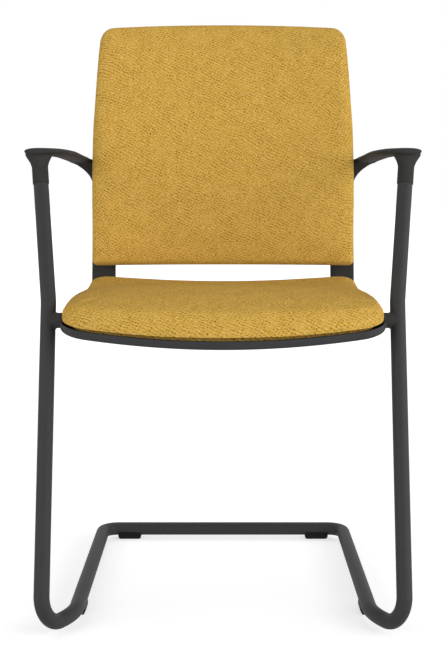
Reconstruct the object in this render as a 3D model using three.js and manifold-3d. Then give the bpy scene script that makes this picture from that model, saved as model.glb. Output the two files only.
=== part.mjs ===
// A sled base visitor chair: a bent steel tube frame, cast arms that run on as the back's uprights,
// an upholstered seat over a moulded pan, and an upholstered back with a thin rear shell.
// Millimetres, +Z up, the sitter faces -Y. Left and right are as seen from the front.
import * as THREE from 'three';
import Module from 'manifold-3d';
import { mergeVertices } from 'three/addons/utils/BufferGeometryUtils.js';

const wasm = await Module();
wasm.setup();

const DEGREE = Math.PI / 180;
const TURN = 2 * Math.PI;
const LEFT = -1;
const RIGHT = 1;

// Fits
const CLEARANCE = 0.3;
const OVERRUN = 4;

// Tube frame
const TUBE_DIAMETER = 22;
const TUBE_WALL = 2;
const LEG_SPREAD = 497;
const LEG_LEAN = 16.5 * DEGREE;
const KNEE_RISE = 26.5;
const KNEE_RADIUS = 60;
const UPPER_LEAN = 23.3 * DEGREE;
const UPPER_SPLAY = 6.1 * DEGREE;
const FLOOR_BEND_RADIUS = 35;
const SWEEP_ANGLE = 29 * DEGREE;
const SWEEP_RADIUS = 135;
const RUNNER_INSET = 39;
const BASE_DEPTH = 550;
const REAR_BEND_RADIUS = 27;
const CROSS_TUBE_HEIGHT = 428.5;
const CROSS_TUBE_SETBACK = 6;

// Glides
const GLIDE_UNDER_TUBE = 6;
const GLIDE_LENGTH = 40;
const GLIDE_WIDTH = 21.6;
const GLIDE_FOOT_WIDTH = 16;
const GLIDE_HEIGHT = 12.5;
const GLIDE_CORNER = 4;
const GLIDE_PEG_DIAMETER = 6;
const GLIDE_PEG_LENGTH = 7;
const FRONT_GLIDE_Y = 134;
const REAR_GLIDE_INSET = 45.5;

// Arms and uprights
const ARM_WIDTH = 47;
const ARM_THICKNESS = 19;
const ARM_OVERHANG = 27;
const ARM_NOSE_LENGTH = 22;
const ARM_RISE = 239.5;
const COLLAR_RISE = 48;
const ARM_DROP = 5.6;
const ARM_BEND_RADIUS = 36;
const ARM_REAR_WIDTH = 36.7;
const ARM_BACK_GAP = 6.5;
const UPRIGHT_WIDTH = 40.6;
const UPRIGHT_THICKNESS = 12;
const UPRIGHT_INSET = 17.7;
const UPRIGHT_STANDOFF = 18;
const TONGUE_WIDTH = 34;
const TONGUE_THICKNESS = 8;
const TONGUE_LENGTH = 125;
const TONGUE_BEND_RADIUS = 16;
const COLLAR_DIAMETER = 24;
const SPIGOT_LENGTH = 40;
const GRUB_SCREW_DIAMETER = 5;
const GRUB_SCREW_LENGTH = 7;
const GRUB_SCREW_DROP = 20;

// Seat
const SEAT_SIDE_GAP = 11.2;
const SEAT_DEPTH = 455;
const SEAT_OVERHANG = 81;
const SEAT_FRONT_CORNER = 43;
const SEAT_REAR_CORNER = 34;
const SEAT_FRONT_BOW = 20;
const SEAT_REAR_BOW = 4;
const SEAT_FALL = 15.5;
const SEAT_LIFT = 10.2;
const SEAT_FALL_LENGTH = 130;
const SEAT_SIDE_HEIGHT = 27.5;
const SEAT_CROWN = 18.8;
const SEAT_REAR_RISE = 8;
const SEAT_SKIRT_DROP = 15.3;
const SEAT_BOARD_THICKNESS = 9;
const SEAT_BOARD_INSET = 18;
const SEAT_BOARD_FRONT_INSET = 36;

// Seat pan
const PAN_WALL = 3;
const PAN_GROOVE = 1.4;
const PAN_RIM_HEIGHT = 13.8;
const PAN_ROOM = 4;
const PAN_BOSS_DIAMETER = 13;
const PAN_BOSS_INSET = 111.3;
const PAN_BOSS_FRONT_INSET = 150;
const PAN_BOSS_REAR_INSET = 75;
const PAN_SCREW_DIAMETER = 4;
const PAN_SCREW_HEAD = 8;
const PAN_SCREW_HEAD_HEIGHT = 2.5;
const PAN_SCREW_BITE = 5;

// Seat rails and spacers
const RAIL_WIDTH = 25;
const RAIL_WALL = 1.5;
const RAIL_INSET = 14.5;
const RAIL_REAR_INSET = 24;
const SPACER_DIAMETER = 14;

// Bolts and tee nuts
const BOLT_DIAMETER = 6;
const BOLT_HEAD_DIAMETER = 11;
const BOLT_HEAD_HEIGHT = 3.5;
const BOLT_SOCKET = 4;
const BOLT_SOCKET_DEPTH = 2;
const NUT_FLANGE_DIAMETER = 19;
const NUT_FLANGE_THICKNESS = 1.5;
const NUT_BARREL_DIAMETER = 8.6;
const NUT_BARREL_LENGTH = 6;
const FRONT_BOLT_SETBACK = 50;
const TONGUE_BOLT_SPACING = 34;
const TONGUE_BOLT_INSET = 14;

// Back
const BACK_TILT = 11 * DEGREE;
const BACK_RISE = 48;
const BACK_SETBACK = 5;
const BACK_SIDE_GAP = 26.3;
const BACK_HEIGHT = 417.5;
const BACK_TOP_CORNER = 24;
const BACK_BOTTOM_CORNER = 8;
const BACK_TOP_BOW = 7;
const BACK_CURVE_RADIUS = 1000;
const BACK_FOAM = 22;
const BACK_CROWN = 5;
const BACK_BOARD_THICKNESS = 10;
const BACK_BOARD_INSET = 12;
const BACK_SHELL_THICKNESS = 3;
const BACK_SHELL_INSET = 14;
const BACK_BOLT_LOW = 28;
const BACK_BOLT_HIGH = 90;
const BOSS_DIAMETER = 20;

// How finely round things are divided
const TUBE_SIDES = 16;
const ARC_STEP = 15 * DEGREE;
const ROUND_SIDES = 12;
const SECTION_POINTS = 14;
const FASTENER_SIDES = 10;
const NOSE_STEPS = 5;
const ARMREST_STEPS = 6;
const UPRIGHT_STEPS = 2;
const CORNER_STEPS = 4;
const EDGE_STEPS = 4;
const SIDE_STEPS = 6;
const BACK_ARC_STEPS = 18;

// Shapes as shares of the sizes that they follow
const COLLAR_SINK_SHARE = 0.3;
const HEAD_TOP_SHARE = 0.8;
const CROWN_PLACE_SHARE = 0.32;
const CROWN_WIDTH_SHARE = 0.36;
const CROWN_START_SHARE = 0.6;
const REAR_RISE_WIDTH_SHARE = 0.14;
const FALL_EASE_SHARE = 0.15;
const LIFT_EASE_SHARE = 0.5;
const LIFT_EASE_START_SHARE = 0.3;
const LIFT_EASE_END_SHARE = 0.87;
const REAR_CORNER_RISE_SHARE = 0.7;

// The collar's flare: height along its rise, and radius
const collarFlareShares = [[0.55, 1], [0.63, 1.06], [0.73, 1.18], [0.83, 1.37], [0.92, 1.57], [1, 1.72]];

// The seat cushion from the middle of its underside to the middle of its top: inset, shrink and height
const cushionLevelShares = [
  [0, 0, 0], [0.7, 0.5, 0], [0.7, 1, 0], [0.12, 1, 0], [0.03, 1, 0.13], [0, 1, 0.36], [0.05, 1, 0.62],
  [0.17, 1, 0.82], [0.38, 1, 0.95], [0.9, 1, 1], [0.6, 0.86, 1], [0.3, 0.68, 1], [0, 0.45, 1], [0, 0.2, 1],
  [0, 0, 1],
];

// The pan from the middle of its underside, over its rim, to the middle of its floor: inset, shrink,
// how far its floor follows the rim's foot, how far it has risen up the rim, and how far through its wall
const panLevelShares = [
  [0, 0, 0, 0, 0], [0, 0.45, 0, 0, 0], [0, 0.8, 0, 0, 0], [1.6, 1, 0.3, 0, 0], [0.75, 1, 0.8, 0, 0],
  [0.12, 1, 1, 0.1, 0], [-0.16, 1, 1, 0.35, 0], [-0.25, 1, 1, 1, 0], [-0.03, 1, 1, 1, 0], [0.12, 1, 1, 0.45, 0],
  [0.45, 1, 1, 0.12, 0.7], [0.85, 1, 0.8, 0, 1], [1.7, 1, 0.3, 0, 1], [0, 0.79, 0, 0, 1],
  [0, 0.45, 0, 0, 1], [0, 0, 0, 0, 1],
];

// The back's width at heights along it
const backWidthShares = [[0, 0.993], [0.35, 1], [0.5, 0.998], [0.69, 0.981], [0.86, 0.96], [1, 0.938]];

// The back cushion from the middle of its rear to the middle of its face: inset, shrink, depth and crown
const backLevelShares = [
  [0, 0, 1, 0], [0, 0.5, 1, 0], [0, 0.94, 1, 0], [0.2, 1, 0.99, 0], [0.05, 1, 0.86, 0], [0, 1, 0.66, 0],
  [0.06, 1, 0.42, 0], [0.17, 1, 0.2, 0.3], [0.2, 0.978, 0.06, 0.75], [0.2, 0.94, 0, 0.9], [0, 0.82, 0, 0.5],
  [0, 0.6, 0, 0.2], [0, 0.3, 0, 0.03], [0, 0, 0, 0],
];

// Heights and places that follow from the sizes above
const tubeRadius = TUBE_DIAMETER / 2;
const boreRadius = tubeRadius - TUBE_WALL;
const runnerHeight = GLIDE_UNDER_TUBE + tubeRadius;
const crossTubeY = (CROSS_TUBE_HEIGHT - runnerHeight) * Math.tan(LEG_LEAN);
const kneeHeight = CROSS_TUBE_HEIGHT + KNEE_RISE;
const armAxisHeight = CROSS_TUBE_HEIGHT + ARM_RISE;
const legTopHeight = armAxisHeight - COLLAR_RISE;
const crossTubeTop = CROSS_TUBE_HEIGHT + tubeRadius;
const crossTubeBottom = CROSS_TUBE_HEIGHT - tubeRadius;
const boardBottom = crossTubeTop + CLEARANCE;
const boardTop = boardBottom + SEAT_BOARD_THICKNESS;
const tongueTop = boardBottom - CLEARANCE;
const tongueBottom = tongueTop - TONGUE_THICKNESS;
const railTop = tongueBottom - CLEARANCE;
const borderHeight = boardBottom - SEAT_SKIRT_DROP;
const boltHeadTop = crossTubeBottom - CLEARANCE;
const panFloor = boltHeadTop - BOLT_HEAD_HEIGHT - PAN_ROOM;
const panBottom = panFloor - PAN_WALL;
const seatHalf = LEG_SPREAD / 2 - tubeRadius - SEAT_SIDE_GAP;
const seatFront = crossTubeY - SEAT_OVERHANG;
const seatRear = seatFront + SEAT_DEPTH;
const runnerSpread = LEG_SPREAD - 2 * RUNNER_INSET;
const backWidth = LEG_SPREAD - 2 * BACK_SIDE_GAP;
const uprightSpacing = backWidth - 2 * UPRIGHT_INSET;
const railSpacing = uprightSpacing - 2 * RAIL_INSET;
const backBottom = boardBottom + BACK_RISE;
const backFront = seatRear + BACK_SETBACK;
const boardFace = BACK_CURVE_RADIUS + BACK_FOAM;
const boardRear = boardFace + BACK_BOARD_THICKNESS;
const shellFace = boardRear + CLEARANCE;
const shellRear = shellFace + BACK_SHELL_THICKNESS;
const shellRearDepth = Math.sqrt(shellRear ** 2 - (uprightSpacing / 2) ** 2) - BACK_CURVE_RADIUS;
const uprightDepth = shellRearDepth + UPRIGHT_STANDOFF + UPRIGHT_THICKNESS / 2;
const boltAngle = Math.atan(uprightSpacing / 2 / (BACK_CURVE_RADIUS + uprightDepth));

const up = new THREE.Vector3(0, 0, 1);

// Materials
function finish(color, roughness, metalness) {
  return () => new THREE.MeshStandardMaterial({ color, roughness, metalness });
}

const powderCoat = finish(0x3e3e3d, 0.55, 0.1);
const coatedCasting = finish(0x3b3b3a, 0.5, 0.1);
const panPlastic = finish(0x393938, 0.6, 0);
const glidePlastic = finish(0x151515, 0.7, 0);
const mustardFabric = finish(0xc8a048, 0.95, 0);
const plywood = finish(0xb08d5e, 0.8, 0);
const zincSteel = finish(0xa9abad, 0.35, 0.9);
const blackSteel = finish(0x222222, 0.45, 0.6);

// Solids: merged, closed meshes that can be joined and cut
function solid(geometry) {
  const bare = geometry.clone();
  bare.deleteAttribute('normal');
  bare.deleteAttribute('uv');
  const merged = mergeVertices(bare);
  const corners = merged.index.array;
  const kept = [];
  for (let i = 0; i < corners.length; i += 3) {
    const [a, b, c] = [corners[i], corners[i + 1], corners[i + 2]];
    if (a !== b && b !== c && c !== a) kept.push(a, b, c);
  }
  return new wasm.Manifold(new wasm.Mesh({
    numProp: 3,
    vertProperties: new Float32Array(merged.attributes.position.array),
    triVerts: new Uint32Array(kept),
  }));
}

function toGeometry(body) {
  const mesh = body.getMesh();
  const geometry = new THREE.BufferGeometry();
  geometry.setAttribute('position', new THREE.BufferAttribute(new Float32Array(mesh.vertProperties), 3));
  geometry.setIndex(new THREE.BufferAttribute(new Uint32Array(mesh.triVerts), 1));
  const flat = geometry.toNonIndexed();
  flat.computeVertexNormals();
  return flat;
}

function join(bodies) {
  return bodies.reduce((whole, body) => whole.add(body));
}

function cut(body, tools) {
  return tools.reduce((rest, tool) => rest.subtract(tool), body);
}

function placed(geometry, matrix) {
  return geometry.clone().applyMatrix4(matrix);
}

function moved(x, y, z) {
  return new THREE.Matrix4().makeTranslation(x, y, z);
}

// Turns +Z to the given direction and moves the origin to the given point
function aimed(point, direction) {
  const turn = new THREE.Quaternion().setFromUnitVectors(up, direction.clone().normalize());
  return new THREE.Matrix4().compose(point, turn, new THREE.Vector3(1, 1, 1));
}

function box(x0, x1, y0, y1, z0, z1) {
  const geometry = new THREE.BoxGeometry(x1 - x0, y1 - y0, z1 - z0);
  return solid(placed(geometry, moved((x0 + x1) / 2, (y0 + y1) / 2, (z0 + z1) / 2)));
}

// A turned body about +Z, from pairs of radius and height
function turned(profile, sides = ROUND_SIDES) {
  const points = profile.map(([radius, height]) => new THREE.Vector2(radius, height));
  return new THREE.LatheGeometry(points, sides).rotateX(TURN / 4);
}

function rod(radius, from, to, sides = ROUND_SIDES) {
  return turned([[0, from], [radius, from], [radius, to], [0, to]], sides);
}

// A closed body skinned over rings of points; a ring of one point closes an end
function skin(rings) {
  const points = rings.flat();
  const faces = [];
  let first = 0;
  for (let i = 0; i + 1 < rings.length; i += 1) {
    const second = first + rings[i].length;
    const count = Math.max(rings[i].length, rings[i + 1].length);
    for (let k = 0; k < count; k += 1) {
      const l = (k + 1) % count;
      if (rings[i].length > 1) {
        faces.push([first + k, first + l, rings[i + 1].length > 1 ? second + l : second]);
      }
      if (rings[i + 1].length > 1) {
        faces.push([rings[i].length > 1 ? first + k : first, second + l, second + k]);
      }
    }
    first = second;
  }
  let volume = 0;
  for (const [a, b, c] of faces) {
    volume += points[a].dot(points[b].clone().cross(points[c]));
  }
  const index = volume > 0 ? faces.flat() : faces.map(([a, b, c]) => [a, c, b]).flat();
  const geometry = new THREE.BufferGeometry().setFromPoints(points);
  geometry.setIndex(index);
  return geometry;
}

// A route of straight runs and round bends through corners, with stations on its bends
class BentRoute extends THREE.Curve {
  constructor(corners) {
    super();
    this.stations = [];
    const last = corners.length - 1;
    this.add(corners[0].at, corners[1].at.clone().sub(corners[0].at).normalize(), 0);
    for (let i = 1; i < last; i += 1) {
      this.bend(corners[i - 1].at, corners[i].at, corners[i + 1].at, corners[i].radius, 2 * i - 1);
    }
    const before = corners[last - 1].at;
    this.add(corners[last].at, corners[last].at.clone().sub(before).normalize(), 2 * last - 1);
  }

  add(point, tangent, stage) {
    this.stations.push({ point, tangent, stage });
  }

  bend(before, corner, after, radius, stage) {
    const back = before.clone().sub(corner).normalize();
    const ahead = after.clone().sub(corner).normalize();
    const half = back.angleTo(ahead) / 2;
    const sweep = Math.PI - 2 * half;
    const middle = back.clone().add(ahead).normalize();
    const centre = corner.clone().addScaledVector(middle, radius / Math.sin(half));
    const start = corner.clone().addScaledVector(back, radius / Math.tan(half)).sub(centre).normalize();
    const forward = back.clone().negate();
    const steps = Math.ceil(sweep / ARC_STEP);
    for (let i = 0; i <= steps; i += 1) {
      const angle = sweep * i / steps;
      const spoke = start.clone().multiplyScalar(Math.cos(angle)).addScaledVector(forward, Math.sin(angle));
      const tangent = forward.clone().multiplyScalar(Math.cos(angle)).addScaledVector(start, -Math.sin(angle));
      this.add(centre.clone().addScaledVector(spoke, radius), tangent, stage + i / steps);
    }
  }

  station(share) {
    return this.stations[Math.round(share * (this.stations.length - 1))];
  }

  getPointAt(share, target = new THREE.Vector3()) {
    return target.copy(this.station(share).point);
  }

  getTangentAt(share, target = new THREE.Vector3()) {
    return target.copy(this.station(share).tangent);
  }
}

// A round tube or bar along a route
function tubeAlong(route, outer, inner) {
  const section = new THREE.Shape();
  section.absarc(0, 0, outer, 0, TURN, false);
  if (inner > 0) {
    const bore = new THREE.Path();
    bore.absarc(0, 0, inner, 0, TURN, true);
    section.holes.push(bore);
  }
  return solid(new THREE.ExtrudeGeometry(section, {
    steps: route.stations.length - 1,
    extrudePath: route,
    curveSegments: TUBE_SIDES / 2,
  }));
}

// Sled frame: the left half of the tube's route, from the arm to the middle of the rear, and its mirror image
function frameCorners(side) {
  const leg = side * LEG_SPREAD / 2;
  const runner = side * runnerSpread / 2;
  const kneeY = (kneeHeight - runnerHeight) * Math.tan(LEG_LEAN);
  const rise = legTopHeight - kneeHeight;
  const turnY = Math.abs(leg - runner) / Math.tan(SWEEP_ANGLE);
  return [
    {
      at: new THREE.Vector3(leg + side * rise * Math.tan(UPPER_SPLAY), kneeY + rise * Math.tan(UPPER_LEAN),
        legTopHeight),
    },
    { at: new THREE.Vector3(leg, kneeY, kneeHeight), radius: KNEE_RADIUS },
    { at: new THREE.Vector3(leg, 0, runnerHeight), radius: FLOOR_BEND_RADIUS },
    { at: new THREE.Vector3(runner, turnY, runnerHeight), radius: SWEEP_RADIUS },
    { at: new THREE.Vector3(runner, BASE_DEPTH, runnerHeight), radius: REAR_BEND_RADIUS },
  ];
}

const frameRoute = new BentRoute([...frameCorners(LEFT), ...frameCorners(RIGHT).reverse()]);

// The route's place and direction where it passes a given depth on one side's runner
function runnerAt(side, y) {
  const stations = frameRoute.stations.filter(({ point }) => (
    Math.sign(point.x) === side && point.z - runnerHeight < CLEARANCE
  ));
  stations.sort((a, b) => a.point.y - b.point.y);
  const after = Math.max(1, stations.findIndex(({ point }) => point.y > y));
  const [low, high] = [stations[after - 1], stations[after]];
  const share = (y - low.point.y) / (high.point.y - low.point.y);
  return {
    point: low.point.clone().lerp(high.point, share),
    tangent: high.point.clone().sub(low.point).normalize(),
  };
}

function glidePlaces() {
  const places = [];
  for (const side of [LEFT, RIGHT]) {
    const { point, tangent } = runnerAt(side, FRONT_GLIDE_Y);
    places.push({ name: `front_${side < 0 ? 'left' : 'right'}`, point, tangent });
  }
  for (const side of [LEFT, RIGHT]) {
    places.push({
      name: `rear_${side < 0 ? 'left' : 'right'}`,
      point: new THREE.Vector3(side * (runnerSpread / 2 - REAR_GLIDE_INSET), BASE_DEPTH, runnerHeight),
      tangent: new THREE.Vector3(1, 0, 0),
    });
  }
  return places;
}

// A glide: a saddle under the tube with a peg that plugs into a hole in the tube's underside
function glide(place) {
  const half = GLIDE_LENGTH / 2;
  const side = new THREE.Shape();
  side.moveTo(-half + GLIDE_CORNER, 0);
  side.lineTo(half - GLIDE_CORNER, 0);
  side.quadraticCurveTo(half, 0, half, GLIDE_CORNER);
  side.lineTo(half, GLIDE_HEIGHT);
  side.lineTo(-half, GLIDE_HEIGHT);
  side.lineTo(-half, GLIDE_CORNER);
  side.quadraticCurveTo(-half, 0, -half + GLIDE_CORNER, 0);
  const along = { depth: GLIDE_WIDTH, bevelEnabled: false, curveSegments: CORNER_STEPS };
  const length = new THREE.ExtrudeGeometry(side, along);
  length.translate(0, 0, -GLIDE_WIDTH / 2).rotateX(TURN / 4);
  const section = new THREE.Shape();
  section.moveTo(-GLIDE_FOOT_WIDTH / 2, 0);
  section.lineTo(GLIDE_FOOT_WIDTH / 2, 0);
  section.lineTo(GLIDE_WIDTH / 2, GLIDE_UNDER_TUBE);
  section.lineTo(GLIDE_WIDTH / 2, GLIDE_HEIGHT);
  section.lineTo(-GLIDE_WIDTH / 2, GLIDE_HEIGHT);
  section.lineTo(-GLIDE_WIDTH / 2, GLIDE_UNDER_TUBE);
  section.closePath();
  const width = new THREE.ExtrudeGeometry(section, { depth: GLIDE_LENGTH, bevelEnabled: false });
  width.translate(0, 0, -half).rotateX(TURN / 4).rotateZ(TURN / 4);
  const heading = new THREE.Matrix4().makeRotationZ(Math.atan2(place.tangent.y, place.tangent.x));
  const spot = heading.setPosition(place.point.x, place.point.y, 0);
  const peg = rod(GLIDE_PEG_DIAMETER / 2, 0, GLIDE_PEG_LENGTH)
    .translate(place.point.x, place.point.y, GLIDE_UNDER_TUBE - TUBE_WALL);
  const tube = tubeAlong(frameRoute, tubeRadius + CLEARANCE, 0);
  const block = solid(placed(length, spot)).intersect(solid(placed(width, spot)));
  return join([cut(block, [tube]), solid(peg)]);
}

function pegHole(place) {
  const hole = rod(GLIDE_PEG_DIAMETER / 2 + CLEARANCE, -OVERRUN, TUBE_WALL + OVERRUN);
  return solid(hole.translate(place.point.x, place.point.y, GLIDE_UNDER_TUBE));
}

// The axis of a leg's upper end, pointing up into the arm
function legTop(side) {
  const [top, knee] = frameCorners(side);
  return { point: top.at, axis: top.at.clone().sub(knee.at).normalize() };
}

// The place and direction of the grub screw that locks an arm's spigot, pointing into the tube from behind
function grubScrewAim(side) {
  const { point, axis } = legTop(side);
  const inward = new THREE.Vector3(0, -1, 0).projectOnPlane(axis).normalize();
  const surface = point.clone().addScaledVector(axis, -GRUB_SCREW_DROP).addScaledVector(inward, -tubeRadius);
  return aimed(surface, inward);
}

function sledFrame() {
  const tools = glidePlaces().map(pegHole);
  for (const side of [LEFT, RIGHT]) {
    const hole = rod(GRUB_SCREW_DIAMETER / 2 + CLEARANCE, -OVERRUN, TUBE_WALL + OVERRUN);
    tools.push(solid(placed(hole, grubScrewAim(side))));
  }
  return cut(tubeAlong(frameRoute, tubeRadius, boreRadius), tools);
}

function crossTubeRod(radius) {
  const half = LEG_SPREAD / 2 - CROSS_TUBE_SETBACK;
  return solid(rod(radius, -half, half, TUBE_SIDES).rotateY(TURN / 4)
    .translate(0, crossTubeY, CROSS_TUBE_HEIGHT));
}

function seatCrossTube() {
  const legs = tubeAlong(frameRoute, tubeRadius + CLEARANCE, 0);
  return cut(crossTubeRod(tubeRadius), [crossTubeRod(boreRadius), legs]);
}

function grubScrew() {
  const radius = GRUB_SCREW_DIAMETER / 2;
  const socket = radius / 2;
  return turned([
    [0, radius / 2], [socket, radius / 2], [socket, 0], [radius, 0],
    [radius, GRUB_SCREW_LENGTH - radius / 2], [radius / 2, GRUB_SCREW_LENGTH], [0, GRUB_SCREW_LENGTH],
  ]);
}

// Arms: the side view's route, from the nose back along the arm, down the upright and forward as a tongue
function backPoint(depth, height) {
  return new THREE.Vector3(
    0,
    backFront + depth * Math.cos(BACK_TILT) + height * Math.sin(BACK_TILT),
    backBottom - depth * Math.sin(BACK_TILT) + height * Math.cos(BACK_TILT),
  );
}

// The upright's axis where it passes a given height above the floor
function uprightAt(z) {
  const height = (z - backBottom + uprightDepth * Math.sin(BACK_TILT)) / Math.cos(BACK_TILT);
  return backPoint(uprightDepth, height);
}

const armLeg = legTop(LEFT);
const armRise = (armAxisHeight - armLeg.point.z) / armLeg.axis.z;
const armFrontX = armLeg.point.x + armLeg.axis.x * armRise;
const armNoseY = armLeg.point.y + armLeg.axis.y * armRise - ARM_OVERHANG;
const tongueAxis = (tongueTop + tongueBottom) / 2;
const tongueEnd = uprightAt(tongueAxis).y - TONGUE_LENGTH;

const armRoute = new BentRoute([
  { at: new THREE.Vector3(0, armNoseY, armAxisHeight) },
  { at: uprightAt(armAxisHeight - ARM_DROP), radius: ARM_BEND_RADIUS },
  { at: uprightAt(tongueAxis), radius: TONGUE_BEND_RADIUS },
  { at: new THREE.Vector3(0, tongueEnd, tongueAxis) },
]);

// Along the arm, by stage: 0 to 1 the armrest, 1 to 2 its bend, 2 to 3 the upright, 3 to 4 the lower bend,
// 4 to 5 the tongue. Each row: stage, width and thickness there.
const armSizes = [
  [0, ARM_WIDTH, ARM_THICKNESS], [1, ARM_REAR_WIDTH, ARM_THICKNESS],
  [2, UPRIGHT_WIDTH, UPRIGHT_THICKNESS], [3, UPRIGHT_WIDTH, UPRIGHT_THICKNESS],
  [4, TONGUE_WIDTH, TONGUE_THICKNESS], [5, TONGUE_WIDTH, TONGUE_THICKNESS],
];

// Where the arm's axis lies across the chair: over the leg, past the back's edge, on the upright, on the rail
const armAxisPlaces = [
  armFrontX,
  -(backWidth + ARM_REAR_WIDTH) / 2 - ARM_BACK_GAP,
  -uprightSpacing / 2,
  -railSpacing / 2,
];

// Each row: stage, how far the axis has moved through the places above, then as shares of the size there the
// width and the thickness over and under the axis, how boxy the section is, and how full its underside is:
// below 0 it narrows to a keel.
const armWayShares = [
  [0, 0, 1, 0.315, 0.249, 0.2, -0.56],
  [0.2, 0.668, 1.012, 0.379, 0.235, 0.2, -0.56],
  [0.5, 0.975, 0.989, 0.404, 0.227, 0.2, -0.56],
  [0.78, 0.988, 0.997, 0.295, 0.275, 0.35, -0.3],
  [1, 1, 1.001, 0.223, 0.301, 0.5, -0.05],
  [1.15, 1.037, 0.989, 0.212, 0.308, 0.56, 0.13],
  [1.3, 1.258, 0.999, 0.244, 0.333, 0.62, 0.3],
  [1.45, 1.475, 1.005, 0.301, 0.379, 0.66, 0.42],
  [1.6, 1.675, 0.991, 0.366, 0.428, 0.62, 0.5],
  [1.8, 1.888, 0.993, 0.449, 0.482, 0.6, 0.56],
  [2, 2, 1, 0.5, 0.5, 0.6, 0.6],
  [3, 2, 1, 0.5, 0.5, 0.6, 0.6],
  [4, 3, 1, 0.5, 0.5, 0.75, 0.75],
  [5, 3, 1, 0.5, 0.5, 0.75, 0.75],
];

// Smooth values between the rows of a table whose first column is the way along; they never overshoot a row
function between(rows, way) {
  const last = rows.length - 1;
  const found = rows.findIndex((row) => row[0] > way);
  const i = found < 0 ? last - 1 : found - 1;
  const slope = (k, column) => {
    if (k === 0 || k === last) return 0;
    const before = (rows[k][column] - rows[k - 1][column]) / (rows[k][0] - rows[k - 1][0]);
    const after = (rows[k + 1][column] - rows[k][column]) / (rows[k + 1][0] - rows[k][0]);
    return before * after > 0 ? 2 * before * after / (before + after) : 0;
  };
  const gap = rows[i + 1][0] - rows[i][0];
  const t = (way - rows[i][0]) / gap;
  return rows[i].map((value, column) => (
    value * (2 * t ** 3 - 3 * t ** 2 + 1) + gap * slope(i, column) * (t ** 3 - 2 * t ** 2 + t)
    + rows[i + 1][column] * (3 * t ** 2 - 2 * t ** 3) + gap * slope(i + 1, column) * (t ** 3 - t ** 2)
  ));
}

// The arm's stations: those of its route, with more of them on its straight runs and round its nose
function armStations() {
  const stations = [];
  const route = armRoute.stations;
  for (let i = 0; i + 1 < route.length; i += 1) {
    const [start, end] = [route[i], route[i + 1]];
    const straight = Number.isInteger(start.stage) && start.stage % 2 === 0;
    const length = start.point.distanceTo(end.point);
    const ways = [];
    if (i === 0) {
      const nose = ARM_NOSE_LENGTH / length;
      for (let k = 1; k < NOSE_STEPS; k += 1) ways.push(nose * (1 - Math.cos(TURN / 4 * k / NOSE_STEPS)));
      for (let k = 0; k < ARMREST_STEPS; k += 1) ways.push(nose + (1 - nose) * k / ARMREST_STEPS);
    } else if (straight) {
      for (let k = 0; k < UPRIGHT_STEPS; k += 1) ways.push(k / UPRIGHT_STEPS);
    } else {
      ways.push(0);
    }
    for (const way of ways) {
      stations.push({
        point: start.point.clone().lerp(end.point, way),
        tangent: start.tangent,
        stage: start.stage + (end.stage - start.stage) * way,
        reach: i === 0 ? way * length : ARM_NOSE_LENGTH,
      });
    }
  }
  stations.push({ ...route[route.length - 1], reach: ARM_NOSE_LENGTH });
  return stations;
}

// One ring of the arm's section: a rounded box that grows out of the nose
function armRing(side, { point, tangent, stage, reach }) {
  const [, inward, width, over, under, boxy, keel] = between(armWayShares, stage);
  const nose = Math.min(1, reach / ARM_NOSE_LENGTH);
  const round = Math.sqrt(1 - (1 - nose) ** 2);
  const [, fullWidth, fullThickness] = between(armSizes, stage);
  const from = Math.min(Math.floor(inward), armAxisPlaces.length - 2);
  const x = armAxisPlaces[from] + (armAxisPlaces[from + 1] - armAxisPlaces[from]) * (inward - from);
  const normal = new THREE.Vector3(0, -tangent.z, tangent.y);
  const ring = [];
  for (let i = 0; i < SECTION_POINTS; i += 1) {
    const angle = TURN * i / SECTION_POINTS;
    const fullness = Math.sin(angle) > 0 ? boxy : keel;
    const across = Math.sign(Math.cos(angle)) * Math.abs(Math.cos(angle)) ** (1 - boxy);
    const along = Math.sign(Math.sin(angle)) * Math.abs(Math.sin(angle)) ** (1 - fullness);
    const half = fullWidth / 2 * width * round;
    const height = fullThickness * (along > 0 ? over : under) * Math.sqrt(round);
    const spot = point.clone().addScaledVector(normal, along * height);
    spot.x = -side * (x + across * half);
    ring.push(spot);
  }
  return ring;
}

function armBar(side) {
  const stations = armStations();
  const rings = stations.map((station) => armRing(side, station));
  const nose = new THREE.Vector3(-side * armFrontX, armNoseY, armAxisHeight);
  const last = rings[rings.length - 1];
  const end = last.reduce((sum, spot) => sum.add(spot), new THREE.Vector3()).divideScalar(last.length);
  return solid(skin([[nose], ...rings, [end]]));
}

// The collar that flares into the arm, and the spigot under it that plugs into the tube
function armCollar(side) {
  const { point, axis } = legTop(side);
  const collar = COLLAR_DIAMETER / 2;
  const spigot = boreRadius - CLEARANCE;
  const rise = armRise - ARM_THICKNESS / 2 * COLLAR_SINK_SHARE;
  const profile = [[0, -SPIGOT_LENGTH], [spigot - CLEARANCE, -SPIGOT_LENGTH], [spigot, CLEARANCE - SPIGOT_LENGTH]];
  profile.push([spigot, CLEARANCE], [collar, CLEARANCE]);
  for (const [way, widen] of collarFlareShares) profile.push([collar * widen, rise * way]);
  profile.push([0, rise]);
  return solid(placed(turned(profile), aimed(point, axis)));
}

const backMatrix = new THREE.Matrix4().makeRotationX(-BACK_TILT).setPosition(0, backFront, backBottom);

// A place on the back, square to its curve: pointing to the rear at a given angle, radius and height
function onBack(side, radius, height, forward) {
  const angle = side * boltAngle;
  const rearward = new THREE.Vector3(Math.sin(angle), Math.cos(angle), 0);
  const point = rearward.clone().multiplyScalar(radius).add(new THREE.Vector3(0, -BACK_CURVE_RADIUS, height));
  const direction = forward ? rearward.negate() : rearward;
  return backMatrix.clone().multiply(aimed(point, direction));
}

function hole(diameter, from, to, matrix) {
  return solid(placed(rod(diameter / 2 + CLEARANCE, from, to), matrix));
}

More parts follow.
